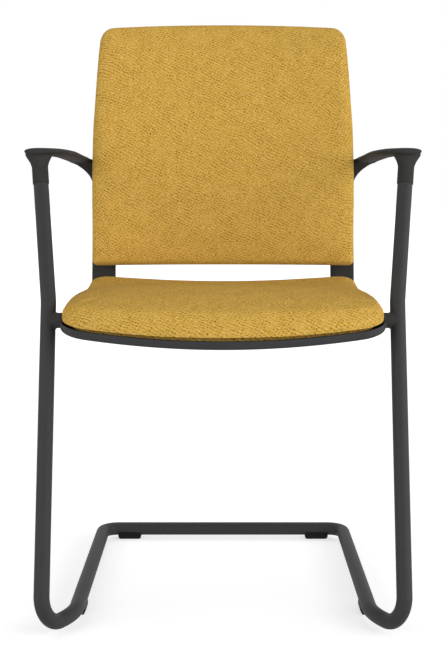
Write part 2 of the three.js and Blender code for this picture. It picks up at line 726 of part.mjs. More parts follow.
const backBoltSeat = (BACK_CURVE_RADIUS + uprightDepth) / Math.cos(boltAngle);
const backBoltLength = backBoltSeat - boardFace - NUT_FLANGE_THICKNESS / 2;
const seatBoltLength = boardTop - boltHeadTop - NUT_FLANGE_THICKNESS / 2;

function seatBoltPlaces(side) {
  const x = side * railSpacing / 2;
  return [
    { name: 'front', x, y: crossTubeY + FRONT_BOLT_SETBACK },
    { name: 'middle', x, y: tongueEnd + TONGUE_BOLT_INSET },
    { name: 'rear', x, y: tongueEnd + TONGUE_BOLT_INSET + TONGUE_BOLT_SPACING },
  ];
}

function allSeatBolts() {
  return [...seatBoltPlaces(LEFT), ...seatBoltPlaces(RIGHT)];
}

// An arm with its upright and tongue: bar, collar and the two bosses that stand off the back
function arm(side) {
  const bodies = [armBar(side), armCollar(side)];
  const tools = [];
  for (const height of [BACK_BOLT_LOW, BACK_BOLT_HIGH]) {
    const boss = rod(BOSS_DIAMETER / 2, boardRear + CLEARANCE - backBoltSeat, 0);
    bodies.push(solid(placed(boss, onBack(side, backBoltSeat, height, false))));
    const seat = onBack(side, backBoltSeat, height, true);
    tools.push(hole(BOLT_DIAMETER, -OVERRUN, backBoltLength, seat));
    tools.push(hole(BOLT_HEAD_DIAMETER, -UPRIGHT_THICKNESS, 0, seat));
  }
  for (const { x, y } of seatBoltPlaces(side)) {
    tools.push(hole(BOLT_DIAMETER, -TONGUE_THICKNESS, TONGUE_THICKNESS, moved(x, y, tongueAxis)));
  }
  const screw = hole(GRUB_SCREW_DIAMETER, -OVERRUN, GRUB_SCREW_LENGTH + CLEARANCE, grubScrewAim(side));
  return cut(join(bodies), [...tools, screw]);
}

// A bolt with its head under the origin and its shank along +Z
function bolt(length) {
  const head = BOLT_HEAD_DIAMETER / 2;
  const shank = BOLT_DIAMETER / 2;
  const socket = BOLT_SOCKET / 2;
  return turned([
    [0, BOLT_SOCKET_DEPTH - BOLT_HEAD_HEIGHT], [socket, BOLT_SOCKET_DEPTH - BOLT_HEAD_HEIGHT],
    [socket, -BOLT_HEAD_HEIGHT], [head * HEAD_TOP_SHARE, -BOLT_HEAD_HEIGHT], [head, -BOLT_HEAD_HEIGHT / 2],
    [head, 0], [shank, 0], [shank, length - CLEARANCE], [shank - CLEARANCE, length], [0, length],
  ], FASTENER_SIDES);
}

// A tee nut with its flange at the origin and its barrel along +Z
function teeNut() {
  const bore = BOLT_DIAMETER / 2 + CLEARANCE;
  const flange = NUT_FLANGE_DIAMETER / 2;
  const barrel = NUT_BARREL_DIAMETER / 2;
  const end = NUT_FLANGE_THICKNESS + NUT_BARREL_LENGTH;
  return turned([
    [bore, 0], [flange, 0], [flange, NUT_FLANGE_THICKNESS], [barrel, NUT_FLANGE_THICKNESS],
    [barrel, end], [bore, end], [bore, 0],
  ], FASTENER_SIDES);
}

function teeNutSeat(boardThickness, matrix) {
  return join([
    hole(NUT_FLANGE_DIAMETER, -OVERRUN, NUT_FLANGE_THICKNESS + CLEARANCE, matrix),
    hole(NUT_BARREL_DIAMETER, -OVERRUN, boardThickness + OVERRUN, matrix),
  ]);
}

// The outline of a panel: a straight or bowed near edge at b = 0, sides, and a far edge at b = length
function panelOutline({ half, length, nearCorner, farCorner, nearBow, farBow }) {
  const quarter = (corner, bow, count) => {
    const centre = half - corner;
    const end = bow > 0 ? Math.atan(centre / (2 * bow)) : TURN / 4;
    const reach = centre + corner * Math.cos(end);
    const base = bow + corner * Math.sin(end);
    const points = [];
    for (let i = 0; i < count; i += 1) {
      const a = reach * i / count;
      points.push([a, bow * (a / reach) ** 2]);
    }
    for (let i = 0; i <= CORNER_STEPS; i += 1) {
      const angle = end * (1 - i / CORNER_STEPS);
      points.push([centre + corner * Math.cos(angle), base - corner * Math.sin(angle)]);
    }
    return points;
  };
  const near = quarter(nearCorner, nearBow, EDGE_STEPS);
  const far = quarter(farCorner, farBow, EDGE_STEPS).map(([a, b]) => [a, length - b]);
  const low = near[near.length - 1][1];
  const high = far[far.length - 1][1];
  const side = [];
  for (let i = 1; i < SIDE_STEPS; i += 1) side.push([half, low + (high - low) * i / SIDE_STEPS]);
  const right = [...near, ...side, ...far.reverse()];
  const left = right.slice(1, -1).reverse().map(([a, b]) => [-a, b]);
  return [...right, ...left].map(([a, b]) => new THREE.Vector2(a, b));
}

// The outline drawn in by an inset, then shrunk towards its middle
function ring(outline, inset, shrink = 1) {
  const middle = new THREE.Vector2(0, outline.reduce((sum, { y }) => sum + y, 0) / outline.length);
  return outline.map((point, i) => {
    const before = outline[(i + outline.length - 1) % outline.length];
    const after = outline[(i + 1) % outline.length];
    const along = after.clone().sub(point).normalize().add(point.clone().sub(before).normalize()).normalize();
    const inwards = new THREE.Vector2(-along.y, along.x);
    return point.clone().addScaledVector(inwards, inset).sub(middle).multiplyScalar(shrink).add(middle);
  });
}

// A closed body from levels of rings: each has an inset, a shrink and a height worked out from its place
function layered(outline, levels, place) {
  return solid(skin(levels.map(({ inset = 0, shrink = 1, height }) => {
    if (shrink > 0) return ring(outline, inset, shrink).map(({ x, y }) => place(x, y, height));
    const { y } = ring(outline, 0, 0)[0];
    return [place(0, y, height)];
  })));
}

function prism(outline, from, to) {
  const geometry = new THREE.ExtrudeGeometry(new THREE.Shape(outline), { depth: to - from, bevelEnabled: false });
  return geometry.translate(0, 0, from);
}

// Seat
const seatOutline = panelOutline({
  half: seatHalf,
  length: SEAT_DEPTH,
  nearCorner: SEAT_REAR_CORNER,
  farCorner: SEAT_FRONT_CORNER,
  nearBow: SEAT_REAR_BOW,
  farBow: SEAT_FRONT_BOW,
});

// The border between cushion and pan: it falls towards the front and lifts towards the sides, less so at the rear
function seatBorder(x, y, ease = 1) {
  const way = Math.min(1, Math.max(0, (seatFront + SEAT_FALL_LENGTH - y) / SEAT_FALL_LENGTH));
  const back = THREE.MathUtils.smoothstep(
    (y - seatFront) / SEAT_DEPTH, LIFT_EASE_START_SHARE, LIFT_EASE_END_SHARE,
  );
  const lift = SEAT_LIFT * (1 - LIFT_EASE_SHARE * back) * (x / seatHalf) ** 2;
  return borderHeight + lift - ease * SEAT_FALL * way ** 2;
}

function seatPlace(height) {
  return (a, b, level) => {
    const y = seatRear - b;
    return new THREE.Vector3(a, y, height(a, y, level));
  };
}

function bump(value, centre, width) {
  return Math.exp(-(((value - centre) / width) ** 2));
}

function seatCushion() {
  const levels = cushionLevelShares.map(([inset, shrink, height]) => ({
    inset: inset * SEAT_SIDE_HEIGHT,
    shrink,
    height,
  }));
  const height = (x, y, level) => {
    const middle = Math.max(0, 1 - (x / seatHalf) ** 2);
    const crown = SEAT_CROWN * bump(y, seatFront + SEAT_DEPTH * CROWN_PLACE_SHARE, SEAT_DEPTH * CROWN_WIDTH_SHARE);
    const corner = 1 + REAR_CORNER_RISE_SHARE * (x / seatHalf) ** 2;
    const rear = SEAT_REAR_RISE * corner * bump(y, seatRear, SEAT_DEPTH * REAR_RISE_WIDTH_SHARE);
    const swell = Math.max(0, (level - CROWN_START_SHARE) / (1 - CROWN_START_SHARE));
    const top = SEAT_SIDE_HEIGHT * level + (crown * middle + rear) * swell;
    return seatBorder(x, y, 1 - level * FALL_EASE_SHARE) + top;
  };
  const body = layered(seatOutline, levels, seatPlace(height));
  const pocketFloor = borderHeight - SEAT_FALL - OVERRUN;
  const pocket = solid(prism(seatBoardOutline(-CLEARANCE), pocketFloor, boardTop + CLEARANCE));
  const tools = [pocket, crossTubeRod(tubeRadius + CLEARANCE)];
  for (const side of [LEFT, RIGHT]) {
    const x = side * railSpacing / 2;
    const half = TONGUE_WIDTH / 2 + CLEARANCE * 2;
    tools.push(box(x - half, x + half, tongueEnd, seatRear + OVERRUN, crossTubeBottom, boardTop));
  }
  return cut(body, tools);
}

function seatBoardOutline(extra) {
  const inset = SEAT_BOARD_INSET + extra;
  const front = SEAT_BOARD_FRONT_INSET + extra;
  return panelOutline({
    half: seatHalf - inset,
    length: SEAT_DEPTH - inset - front,
    nearCorner: SEAT_REAR_CORNER,
    farCorner: SEAT_FRONT_CORNER - SEAT_BOARD_INSET,
    nearBow: 0,
    farBow: SEAT_FRONT_BOW,
  }).map(({ x, y }) => new THREE.Vector2(x, seatRear - inset - y));
}

function panScrewPlaces() {
  const places = [];
  for (const [row, y] of [['front', seatFront + PAN_BOSS_FRONT_INSET], ['rear', seatRear - PAN_BOSS_REAR_INSET]]) {
    for (const side of [LEFT, RIGHT]) {
      const name = `${row}_${side < 0 ? 'left' : 'right'}`;
      places.push({ name, x: side * (seatHalf - PAN_BOSS_INSET), y });
    }
  }
  return places;
}

function seatBoard() {
  const tools = allSeatBolts().map(({ x, y }) => (
    teeNutSeat(SEAT_BOARD_THICKNESS, aimed(new THREE.Vector3(x, y, boardTop), new THREE.Vector3(0, 0, -1)))
  ));
  for (const { x, y } of panScrewPlaces()) {
    tools.push(hole(PAN_SCREW_DIAMETER, -OVERRUN, PAN_SCREW_BITE + CLEARANCE, moved(x, y, boardBottom)));
  }
  return cut(solid(prism(seatBoardOutline(0), boardBottom, boardTop)), tools);
}

// The pan: a tray with a rim that follows the cushion's border, and four bosses up to the board
function seatPan() {
  const height = (x, y, level) => {
    const rimTop = seatBorder(x, y) - PAN_GROOVE;
    const rimBottom = rimTop - PAN_RIM_HEIGHT;
    const floor = panBottom + (rimBottom - panBottom) * level.low;
    return floor + (rimTop - floor) * level.rim + level.wall * PAN_WALL;
  };
  const levels = panLevelShares.map(([inset, shrink, low, rim, wall]) => ({
    inset: inset * PAN_RIM_HEIGHT,
    shrink,
    height: { low, rim, wall },
  }));
  const bodies = [layered(seatOutline, levels, seatPlace(height))];
  const tools = [crossTubeRod(tubeRadius + CLEARANCE)];
  for (const { x, y } of panScrewPlaces()) {
    const boss = rod(PAN_BOSS_DIAMETER / 2, panBottom + PAN_WALL / 2, boardBottom - CLEARANCE);
    bodies.push(solid(boss.translate(x, y, 0)));
    tools.push(hole(PAN_SCREW_DIAMETER, -OVERRUN, boardBottom - panBottom, moved(x, y, panBottom)));
    tools.push(hole(PAN_SCREW_HEAD, -OVERRUN, PAN_SCREW_HEAD_HEIGHT + CLEARANCE, moved(x, y, panBottom)));
  }
  return cut(join(bodies), tools);
}

function panScrew({ x, y }) {
  const head = PAN_SCREW_HEAD / 2;
  const shank = PAN_SCREW_DIAMETER / 2;
  const socket = shank / 2;
  const seat = panBottom + PAN_SCREW_HEAD_HEIGHT;
  const tip = boardBottom + PAN_SCREW_BITE;
  return turned([
    [0, seat - shank], [socket, seat - shank], [socket, panBottom], [head, panBottom], [head, seat],
    [shank, seat], [shank, tip - shank], [0, tip],
  ], FASTENER_SIDES).translate(x, y, 0);
}

function seatRail(side) {
  const x = side * railSpacing / 2;
  const half = RAIL_WIDTH / 2;
  const end = seatRear - RAIL_REAR_INSET;
  const outer = box(x - half, x + half, crossTubeY, end, crossTubeBottom, railTop);
  const inner = box(x - half + RAIL_WALL, x + half - RAIL_WALL, crossTubeY - OVERRUN, end + OVERRUN,
    crossTubeBottom + RAIL_WALL, railTop - RAIL_WALL);
  const tools = [inner, crossTubeRod(tubeRadius + CLEARANCE)];
  for (const place of seatBoltPlaces(side)) {
    const drilled = railTop - crossTubeBottom + OVERRUN;
    tools.push(hole(BOLT_DIAMETER, -OVERRUN, drilled, moved(x, place.y, crossTubeBottom)));
  }
  return cut(outer, tools);
}

function seatSpacer(side) {
  const { x, y } = seatBoltPlaces(side)[0];
  const bore = BOLT_DIAMETER / 2 + CLEARANCE;
  const outer = SPACER_DIAMETER / 2;
  const low = railTop + CLEARANCE;
  const high = boardBottom - CLEARANCE;
  return turned([[bore, low], [outer, low], [outer, high], [bore, high], [bore, low]]).translate(x, y, 0);
}

// Back
function backOutline(inset) {
  return panelOutline({
    half: backWidth / 2 - inset,
    length: BACK_HEIGHT - 2 * inset,
    nearCorner: BACK_BOTTOM_CORNER,
    farCorner: BACK_TOP_CORNER * (1 - inset / BACK_HEIGHT),
    nearBow: 0,
    farBow: BACK_TOP_BOW,
  }).map(({ x, y }) => new THREE.Vector2(x, y + inset));
}

// The back's width changes with height, and its edges drop towards the sides, so that they look level
// although the tilted back curves round the sitter
function shaped({ x, y }) {
  const way = Math.min(1, Math.max(0, y / BACK_HEIGHT));
  const wide = x * between(backWidthShares, way)[1];
  const sag = BACK_CURVE_RADIUS - Math.sqrt(BACK_CURVE_RADIUS ** 2 - wide ** 2);
  return new THREE.Vector2(wide, y - sag * Math.tan(BACK_TILT));
}

function backPlace(a, b, depth) {
  const { x, y } = shaped({ x: a, y: b });
  const radius = BACK_CURVE_RADIUS + depth;
  return new THREE.Vector3(x, Math.sqrt(radius ** 2 - x ** 2) - BACK_CURVE_RADIUS, y);
}

// A curved sheet between two radii about the sitter, cut to the back's outline
function backSheet(inset, from, to) {
  const reach = Math.asin(backWidth / from);
  const band = new THREE.Shape();
  const angles = [];
  for (let i = 0; i <= BACK_ARC_STEPS; i += 1) angles.push(reach * (2 * i / BACK_ARC_STEPS - 1));
  const spots = [
    ...angles.map((angle) => [angle, to]),
    ...angles.reverse().map((angle) => [angle, from]),
  ];
  band.setFromPoints(spots.map(([angle, radius]) => (
    new THREE.Vector2(radius * Math.sin(angle), radius * Math.cos(angle) - BACK_CURVE_RADIUS)
  )));
  const sheet = new THREE.ExtrudeGeometry(band, { depth: 2 * BACK_HEIGHT, bevelEnabled: false });
  sheet.translate(0, 0, -BACK_HEIGHT / 2);
  const edge = backOutline(inset).map(shaped);
  const stamp = prism(edge, -BACK_HEIGHT, BACK_HEIGHT).rotateX(TURN / 4);
  return solid(sheet).intersect(solid(stamp));
}

function onTilt(body) {
  return body.transform(backMatrix.elements);
}

function backCushion() {
  const levels = backLevelShares.map(([inset, shrink, depth, crown]) => ({
    inset: inset * BACK_FOAM,
    shrink,
    height: depth * (BACK_FOAM + BACK_BOARD_THICKNESS - CLEARANCE) + crown * BACK_CROWN,
  }));
  const body = layered(backOutline(0), levels, backPlace);
  const pocket = backSheet(BACK_BOARD_INSET - CLEARANCE, boardFace - CLEARANCE, boardRear + OVERRUN);
  return onTilt(cut(body, [pocket]));
}

function backBoltHeights() {
  return [['lower', BACK_BOLT_LOW], ['upper', BACK_BOLT_HIGH]];
}

function backBoard() {
  const tools = [];
  for (const side of [LEFT, RIGHT]) {
    for (const [, height] of backBoltHeights()) {
      tools.push(teeNutSeat(BACK_BOARD_THICKNESS, onBack(side, boardFace, height, false)));
    }
  }
  return cut(onTilt(backSheet(BACK_BOARD_INSET, boardFace, boardRear)), tools);
}

function backShell() {
  const tools = [];
  for (const side of [LEFT, RIGHT]) {
    for (const [, height] of backBoltHeights()) {
      const seat = onBack(side, shellFace, height, false);
      tools.push(hole(BOSS_DIAMETER, -OVERRUN, BACK_SHELL_THICKNESS + OVERRUN, seat));
    }
  }
  return cut(onTilt(backSheet(BACK_SHELL_INSET, shellFace, shellRear)), tools);
}

// Assembly
const chair = new THREE.Group();

function add(name, shape, material) {
  const geometry = shape instanceof THREE.BufferGeometry ? toGeometry(solid(shape)) : toGeometry(shape);
  const mesh = new THREE.Mesh(geometry, material());
  mesh.name = name;
  chair.add(mesh);
}

add('sled_frame', sledFrame(), powderCoat);
add('seat_cross_tube', seatCrossTube(), powderCoat);
for (const place of glidePlaces()) add(`glide_${place.name}`, glide(place), glidePlastic);
for (const side of [LEFT, RIGHT]) {
  const hand = side < 0 ? 'left' : 'right';
  add(`arm_${hand}`, arm(side), coatedCasting);
  add(`arm_grub_screw_${hand}`, placed(grubScrew(), grubScrewAim(side)), blackSteel);
  add(`seat_rail_${hand}`, seatRail(side), blackSteel);
  add(`seat_spacer_${hand}`, seatSpacer(side), zincSteel);
  for (const { name, x, y } of seatBoltPlaces(side)) {
    const above = aimed(new THREE.Vector3(x, y, boardTop), new THREE.Vector3(0, 0, -1));
    add(`seat_bolt_${hand}_${name}`, placed(bolt(seatBoltLength), moved(x, y, boltHeadTop)), blackSteel);
    add(`seat_nut_${hand}_${name}`, placed(teeNut(), above), zincSteel);
  }
  for (const [row, height] of backBoltHeights()) {
    const seat = onBack(side, backBoltSeat, height, true);
    add(`back_bolt_${hand}_${row}`, placed(bolt(backBoltLength), seat), blackSteel);
    add(`back_nut_${hand}_${row}`, placed(teeNut(), onBack(side, boardFace, height, false)), zincSteel);
  }
}
add('seat_board', seatBoard(), plywood);
add('seat_cushion', seatCushion(), mustardFabric);
add('seat_pan', seatPan(), panPlastic);
for (const place of panScrewPlaces()) add(`pan_screw_${place.name}`, panScrew(place), blackSteel);
add('back_board', backBoard(), plywood);
add('back_cushion', backCushion(), mustardFabric);
add('back_shell', backShell(), panPlastic);

// The origin lies on the floor, in the middle of the chair's width and depth
const extent = new THREE.Box3().setFromObject(chair);
chair.position.y = -(extent.min.y + extent.max.y) / 2;

export default chair;
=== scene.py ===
# %% [markdown]
# # A sled base visitor chair
# The chair is one bent steel tube, two cast arms that run on as the back's uprights, an upholstered seat
# over a moulded pan, and an upholstered back with a thin rear shell. Its sizes come from the packed CAD
# frame, which is loaded first and stays where it is. Each visible piece is then made again around it, finely
# enough to be looked at from close by, and is given the finish that it has on the real object.

# %% Load the frame
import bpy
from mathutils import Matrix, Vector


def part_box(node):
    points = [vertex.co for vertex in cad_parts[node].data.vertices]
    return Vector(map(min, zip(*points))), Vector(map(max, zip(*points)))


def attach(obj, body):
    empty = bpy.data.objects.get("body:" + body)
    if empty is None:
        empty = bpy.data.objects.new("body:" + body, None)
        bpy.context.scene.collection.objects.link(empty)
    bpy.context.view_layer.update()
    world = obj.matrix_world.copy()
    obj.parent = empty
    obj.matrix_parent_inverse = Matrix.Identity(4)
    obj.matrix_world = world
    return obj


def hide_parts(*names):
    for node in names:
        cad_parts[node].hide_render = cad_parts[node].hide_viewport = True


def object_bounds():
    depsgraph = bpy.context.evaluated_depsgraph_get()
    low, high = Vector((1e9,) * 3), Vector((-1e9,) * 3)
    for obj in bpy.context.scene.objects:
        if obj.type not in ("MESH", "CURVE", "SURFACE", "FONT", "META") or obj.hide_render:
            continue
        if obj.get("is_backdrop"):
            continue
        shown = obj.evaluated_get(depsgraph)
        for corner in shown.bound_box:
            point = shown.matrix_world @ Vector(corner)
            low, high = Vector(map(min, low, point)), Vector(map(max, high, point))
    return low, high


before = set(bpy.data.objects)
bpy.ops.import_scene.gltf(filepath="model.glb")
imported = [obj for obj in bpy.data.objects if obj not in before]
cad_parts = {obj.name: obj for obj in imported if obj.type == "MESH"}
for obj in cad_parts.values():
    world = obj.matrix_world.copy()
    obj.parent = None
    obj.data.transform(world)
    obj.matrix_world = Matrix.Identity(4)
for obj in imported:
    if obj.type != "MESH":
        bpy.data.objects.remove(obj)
cad_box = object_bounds()
print("CAD nodes:", len(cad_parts), "box:", [[round(v, 4) for v in corner] for corner in cad_box])

# %% [markdown]
# Blender works in metres, but a chair is drawn in millimetres, so the sizes here are in millimetres and are
# turned into metres at the last moment, when a mesh is made. Depths are counted from the foot of the front
# legs, as a chair maker would, so one number moves them to the frame's own origin. It is measured on the
# tube.

# %% Units and the place of the origin
import math
import bmesh
import bpy
import numpy as np
from mathutils import Matrix, Vector

MM = 0.001
DEGREE = math.pi / 180
TURN = 2 * math.pi
LEFT = -1
RIGHT = 1
SIDES = {"left": LEFT, "right": RIGHT}
TUBE_RADIUS = 11
BASE_DEPTH = 550
foot_to_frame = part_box("sled_frame")[1].y / MM - (BASE_DEPTH + TUBE_RADIUS)
print("Depths are moved by", round(foot_to_frame, 2), "mm")

# %% [markdown]
# ## Finishes as expressions
# A material in Blender is a graph of nodes. Graphs are slow to read when they are written one link at a
# time, so a small class wraps a node's output and gives it the usual operators: `1 - mask` adds a Math node
# by itself. Everything that isn't plain arithmetic goes through one method, which is told the node's type,
# its settings and what its sockets get.

# %% A socket that can be reckoned with
class Flow:
    """One output of a node. Arithmetic on it adds Math nodes to its graph."""

    def __init__(self, graph, socket):
        self.graph = graph
        self.socket = socket

    def math(self, operation, *values):
        return self.graph.node("ShaderNodeMath", {"operation": operation}, dict(enumerate(values)))

    def __add__(self, other):
        return self.math("ADD", self, other)

    def __sub__(self, other):
        return self.math("SUBTRACT", self, other)

    def __rsub__(self, other):
        return self.math("SUBTRACT", other, self)

    def __mul__(self, other):
        return self.math("MULTIPLY", self, other)

    def __abs__(self):
        return self.math("ABSOLUTE", self)

    __radd__ = __add__
    __rmul__ = __mul__


print("Operators:", ", ".join(name.strip("_") for name, value in vars(Flow).items() if callable(value)))

# %% [markdown]
# One class holds such a graph, and a second one the material, which starts from a Principled shader, because
# that covers paint, plastic, metal, wood and cloth. It offers the few patterns that all of these share: a
# place on the object in millimetres, a soft noise, a step from 0 to 1, a mix of two colours, and a bump.
# Patterns are placed in the object's own space, so they need no unwrapping and keep their real size on every
# piece.

# %% The material class
class Graph:
    """A tree of nodes that is built by expressions."""

    def __init__(self, tree):
        self.nodes = tree.nodes
        self.links = tree.links

    def feed(self, socket, value):
        if isinstance(value, Flow):
            self.links.new(value.socket, socket)
        else:
            socket.default_value = value

    def node(self, kind, settings, values, output=0):
        made = self.nodes.new(kind)
        for name, value in settings.items():
            setattr(made, name, value)
        for name, value in values.items():
            self.feed(made.inputs[name], value)
        return Flow(self, made.outputs[output])


class Finish(Graph):
    """A material with one Principled shader."""

    def __init__(self, name, **fixed):
        self.material = bpy.data.materials.new(name)
        self.material.use_nodes = True
        super().__init__(self.material.node_tree)
        self.shader = self.nodes["Principled BSDF"]
        self.set(**fixed)

    def set(self, **sockets):
        for name, value in sockets.items():
            self.feed(self.shader.inputs[name.replace("_", " ")], value)

    def place(self):
        metres = self.node("ShaderNodeTexCoord", {}, {}, "Object")
        return self.node("ShaderNodeVectorMath", {"operation": "SCALE"}, {0: metres, "Scale": 1 / MM})

    def split(self, vector):
        apart = self.node("ShaderNodeSeparateXYZ", {}, {0: vector})
        return [Flow(self, socket) for socket in apart.socket.node.outputs]

    def join(self, x, y, z=0.0):
        return self.node("ShaderNodeCombineXYZ", {}, {0: x, 1: y, 2: z})

    def noise(self, place, size, detail=2.0, rough=0.5):
        values = {"Vector": place, "Scale": 1 / size, "Detail": detail, "Roughness": rough}
        return self.node("ShaderNodeTexNoise", {}, values)

    def step(self, value, low, high):
        values = {"Value": value, "From Min": low, "From Max": high, "To Min": 0.0, "To Max": 1.0}
        return self.node("ShaderNodeMapRange", {"interpolation_type": "SMOOTHSTEP"}, values)

    def mix(self, share, first, second):
        return self.node("ShaderNodeMix", {"data_type": "RGBA"}, {0: share, 6: first, 7: second}, 2)

    def bump(self, height, distance, strength=1.0):
        values = {"Height": height, "Distance": distance * MM, "Strength": strength}
        self.set(Normal=self.node("ShaderNodeBump", {}, values))


print("Patterns:", ", ".join(name for name in vars(Finish) if not name.startswith("_")))

# %% [markdown]
# ## Powder coat on the steel tube
# Powder coat is sprayed on dry and baked, so it flows into a satin skin with a faint orange peel: soft
# dimples a millimetre or two across and a few hundredths deep. One smooth noise gives the dimples, and a
# second, much wider one varies the sheen a little, as handling does. The paint is dark, so most of what is
# seen on it is reflected light, and the roughness matters more than the colour.

# %% Powder coat
def shade(code):
    """A screen colour such as c8a048 as the linear colour that a shader works with."""
    parts = [int(code[i:i + 2], 16) / 255 for i in (0, 2, 4)]
    linear = [v / 12.92 if v <= 0.04045 else ((v + 0.055) / 1.055) ** 2.4 for v in parts]
    return (*linear, 1.0)


def coat(name, colours, specular, roughness, handling, peel, grit, depth):
    """Paint: handling has a size and a share in the sheen, grit a size and shares in sheen and height."""
    finish = Finish(name, IOR=1.45, Specular_IOR_Level=specular)
    place = finish.place()
    handled = finish.noise(place, handling[0], 3.0)
    dimples = finish.noise(place, *peel)
    grains = finish.noise(place, grit[0], 1.0, 0.4)
    finish.set(Base_Color=finish.mix(finish.step(handled, 0.35, 0.7), *map(shade, colours)))
    finish.set(Roughness=roughness + (handled - 0.5) * handling[1] + (grains - 0.5) * grit[1])
    finish.bump(dimples + grains * grit[2], depth, 0.6)
    return finish.material


tube_coat = coat(
    "tube_powder_coat", ("2f2f2f", "333332"), specular=0.3, roughness=0.62,
    handling=(60, 0.12), peel=(1.6, 1.0, 0.4), grit=(0.5, 0.08, 0.35), depth=0.05,
)
print("Powder coat nodes:", len(tube_coat.node_tree.nodes))

# %% [markdown]
# ## Coat on the castings
# The arms are cast, blasted and coated in the same charcoal. The blasted skin under the coat is coarser than
# drawn tube, so the same finish is used with wider dimples and a duller, less even sheen.

# %% Coated casting
arm_coat = coat(
    "cast_arm_coat", ("3b3b3a", "3f3e3c"), specular=0.03, roughness=0.68,
    handling=(45, 0.14), peel=(2.4, 2.0, 0.55), grit=(0.6, 0.1, 0.3), depth=0.06,
)
print("Casting nodes:", len(arm_coat.node_tree.nodes))

# %% [markdown]
# ## Moulded plastic of the pan and the rear shell
# The mould is etched, which leaves a fine leathery grain that kills the gloss and hides scratches. Cells of
# a Voronoi texture, softened by noise, look like that grain: rounded pebbles with narrow valleys between
# them.

# %% Grained plastic
def grained_plastic():
    finish = Finish("grained_charcoal_plastic", IOR=1.46, Specular_IOR_Level=0.28)
    place = finish.place()
    pebbles = finish.node(
        "ShaderNodeTexVoronoi", {"feature": "SMOOTH_F1"},
        {"Vector": place, "Scale": 1 / 1.1, "Smoothness": 0.5, "Randomness": 1.0},
    )
    cloud = finish.noise(place, 35, 2.0)
    finish.set(Base_Color=finish.mix(finish.step(cloud, 0.3, 0.7), shade("2e2e30"), shade("323234")))
    finish.set(Roughness=0.58 + (pebbles - 0.4) * 0.14)
    finish.bump(1 - pebbles, 0.07, 0.5)
    return finish.material


moulded_plastic = grained_plastic()
print("Grained plastic nodes:", len(moulded_plastic.node_tree.nodes))

# %% [markdown]
# ## Black glide plastic
# The glides are small, smooth and black. They scuff where they slide, so the lowest millimetres are greyer
# and duller: the height above the floor drives the mix, with noise that breaks its edge.

# %% Glide plastic
def glide_plastic_finish():
    finish = Finish("black_glide_plastic", Specular_IOR_Level=0.15)
    place = finish.place()
    x, y, z = finish.split(place)
    scratches = finish.noise(finish.join(x * 0.2, y, z), 0.8, 3.0)
    scuffed = 1 - finish.step(z + (scratches - 0.5) * 3.0, 0.4, 2.6)
    finish.set(Base_Color=finish.mix(scuffed * 0.7, shade("0a0a0a"), shade("1e1e1d")))
    finish.set(Roughness=0.5 + scuffed * 0.25)
    finish.bump(scratches, 0.03, 0.5)
    return finish.material


glide_plastic = glide_plastic_finish()
print("Glide plastic nodes:", len(glide_plastic.node_tree.nodes))

# %% [markdown]
# ## Mustard woven cloth
# The cover is a heavy wool-like satin weave. Its weft yarns are two millimetres apart and float over four
# warp yarns at a time. Where a warp yarn binds them there is a small dark pit, and since each row's pits lie
# two yarns on from the last row's, they stand on a square lattice that is turned by 27 degrees. From a
# chair's distance that gives fine slanting lines of dark flecks, more broken up in some places than in
# others. Two cosines across each other make the lattice, a third makes the yarns, wide noises bend both as a
# real cloth is pulled, and noise stretched along the yarns gives straw and brown fibres. Drawing the yarns
# as meshes would cost millions of faces. The cloth is laid over each pad like a sheet, from the middle down
# over both edges, so it needs no unwrapping, and on the seat it follows the bowed front edge.

# %% Woven cloth
YARN = 2.04
LATTICE = 4.6
SHALLOW = 0.447
STEEP = 0.894
TURN_ZONE = 100
SEAT_CLOTH_BOW = 20 / 226 ** 2
SEAT_CLOTH_LEVEL = 467
SEAT_CLOTH_MIDDLE = 268


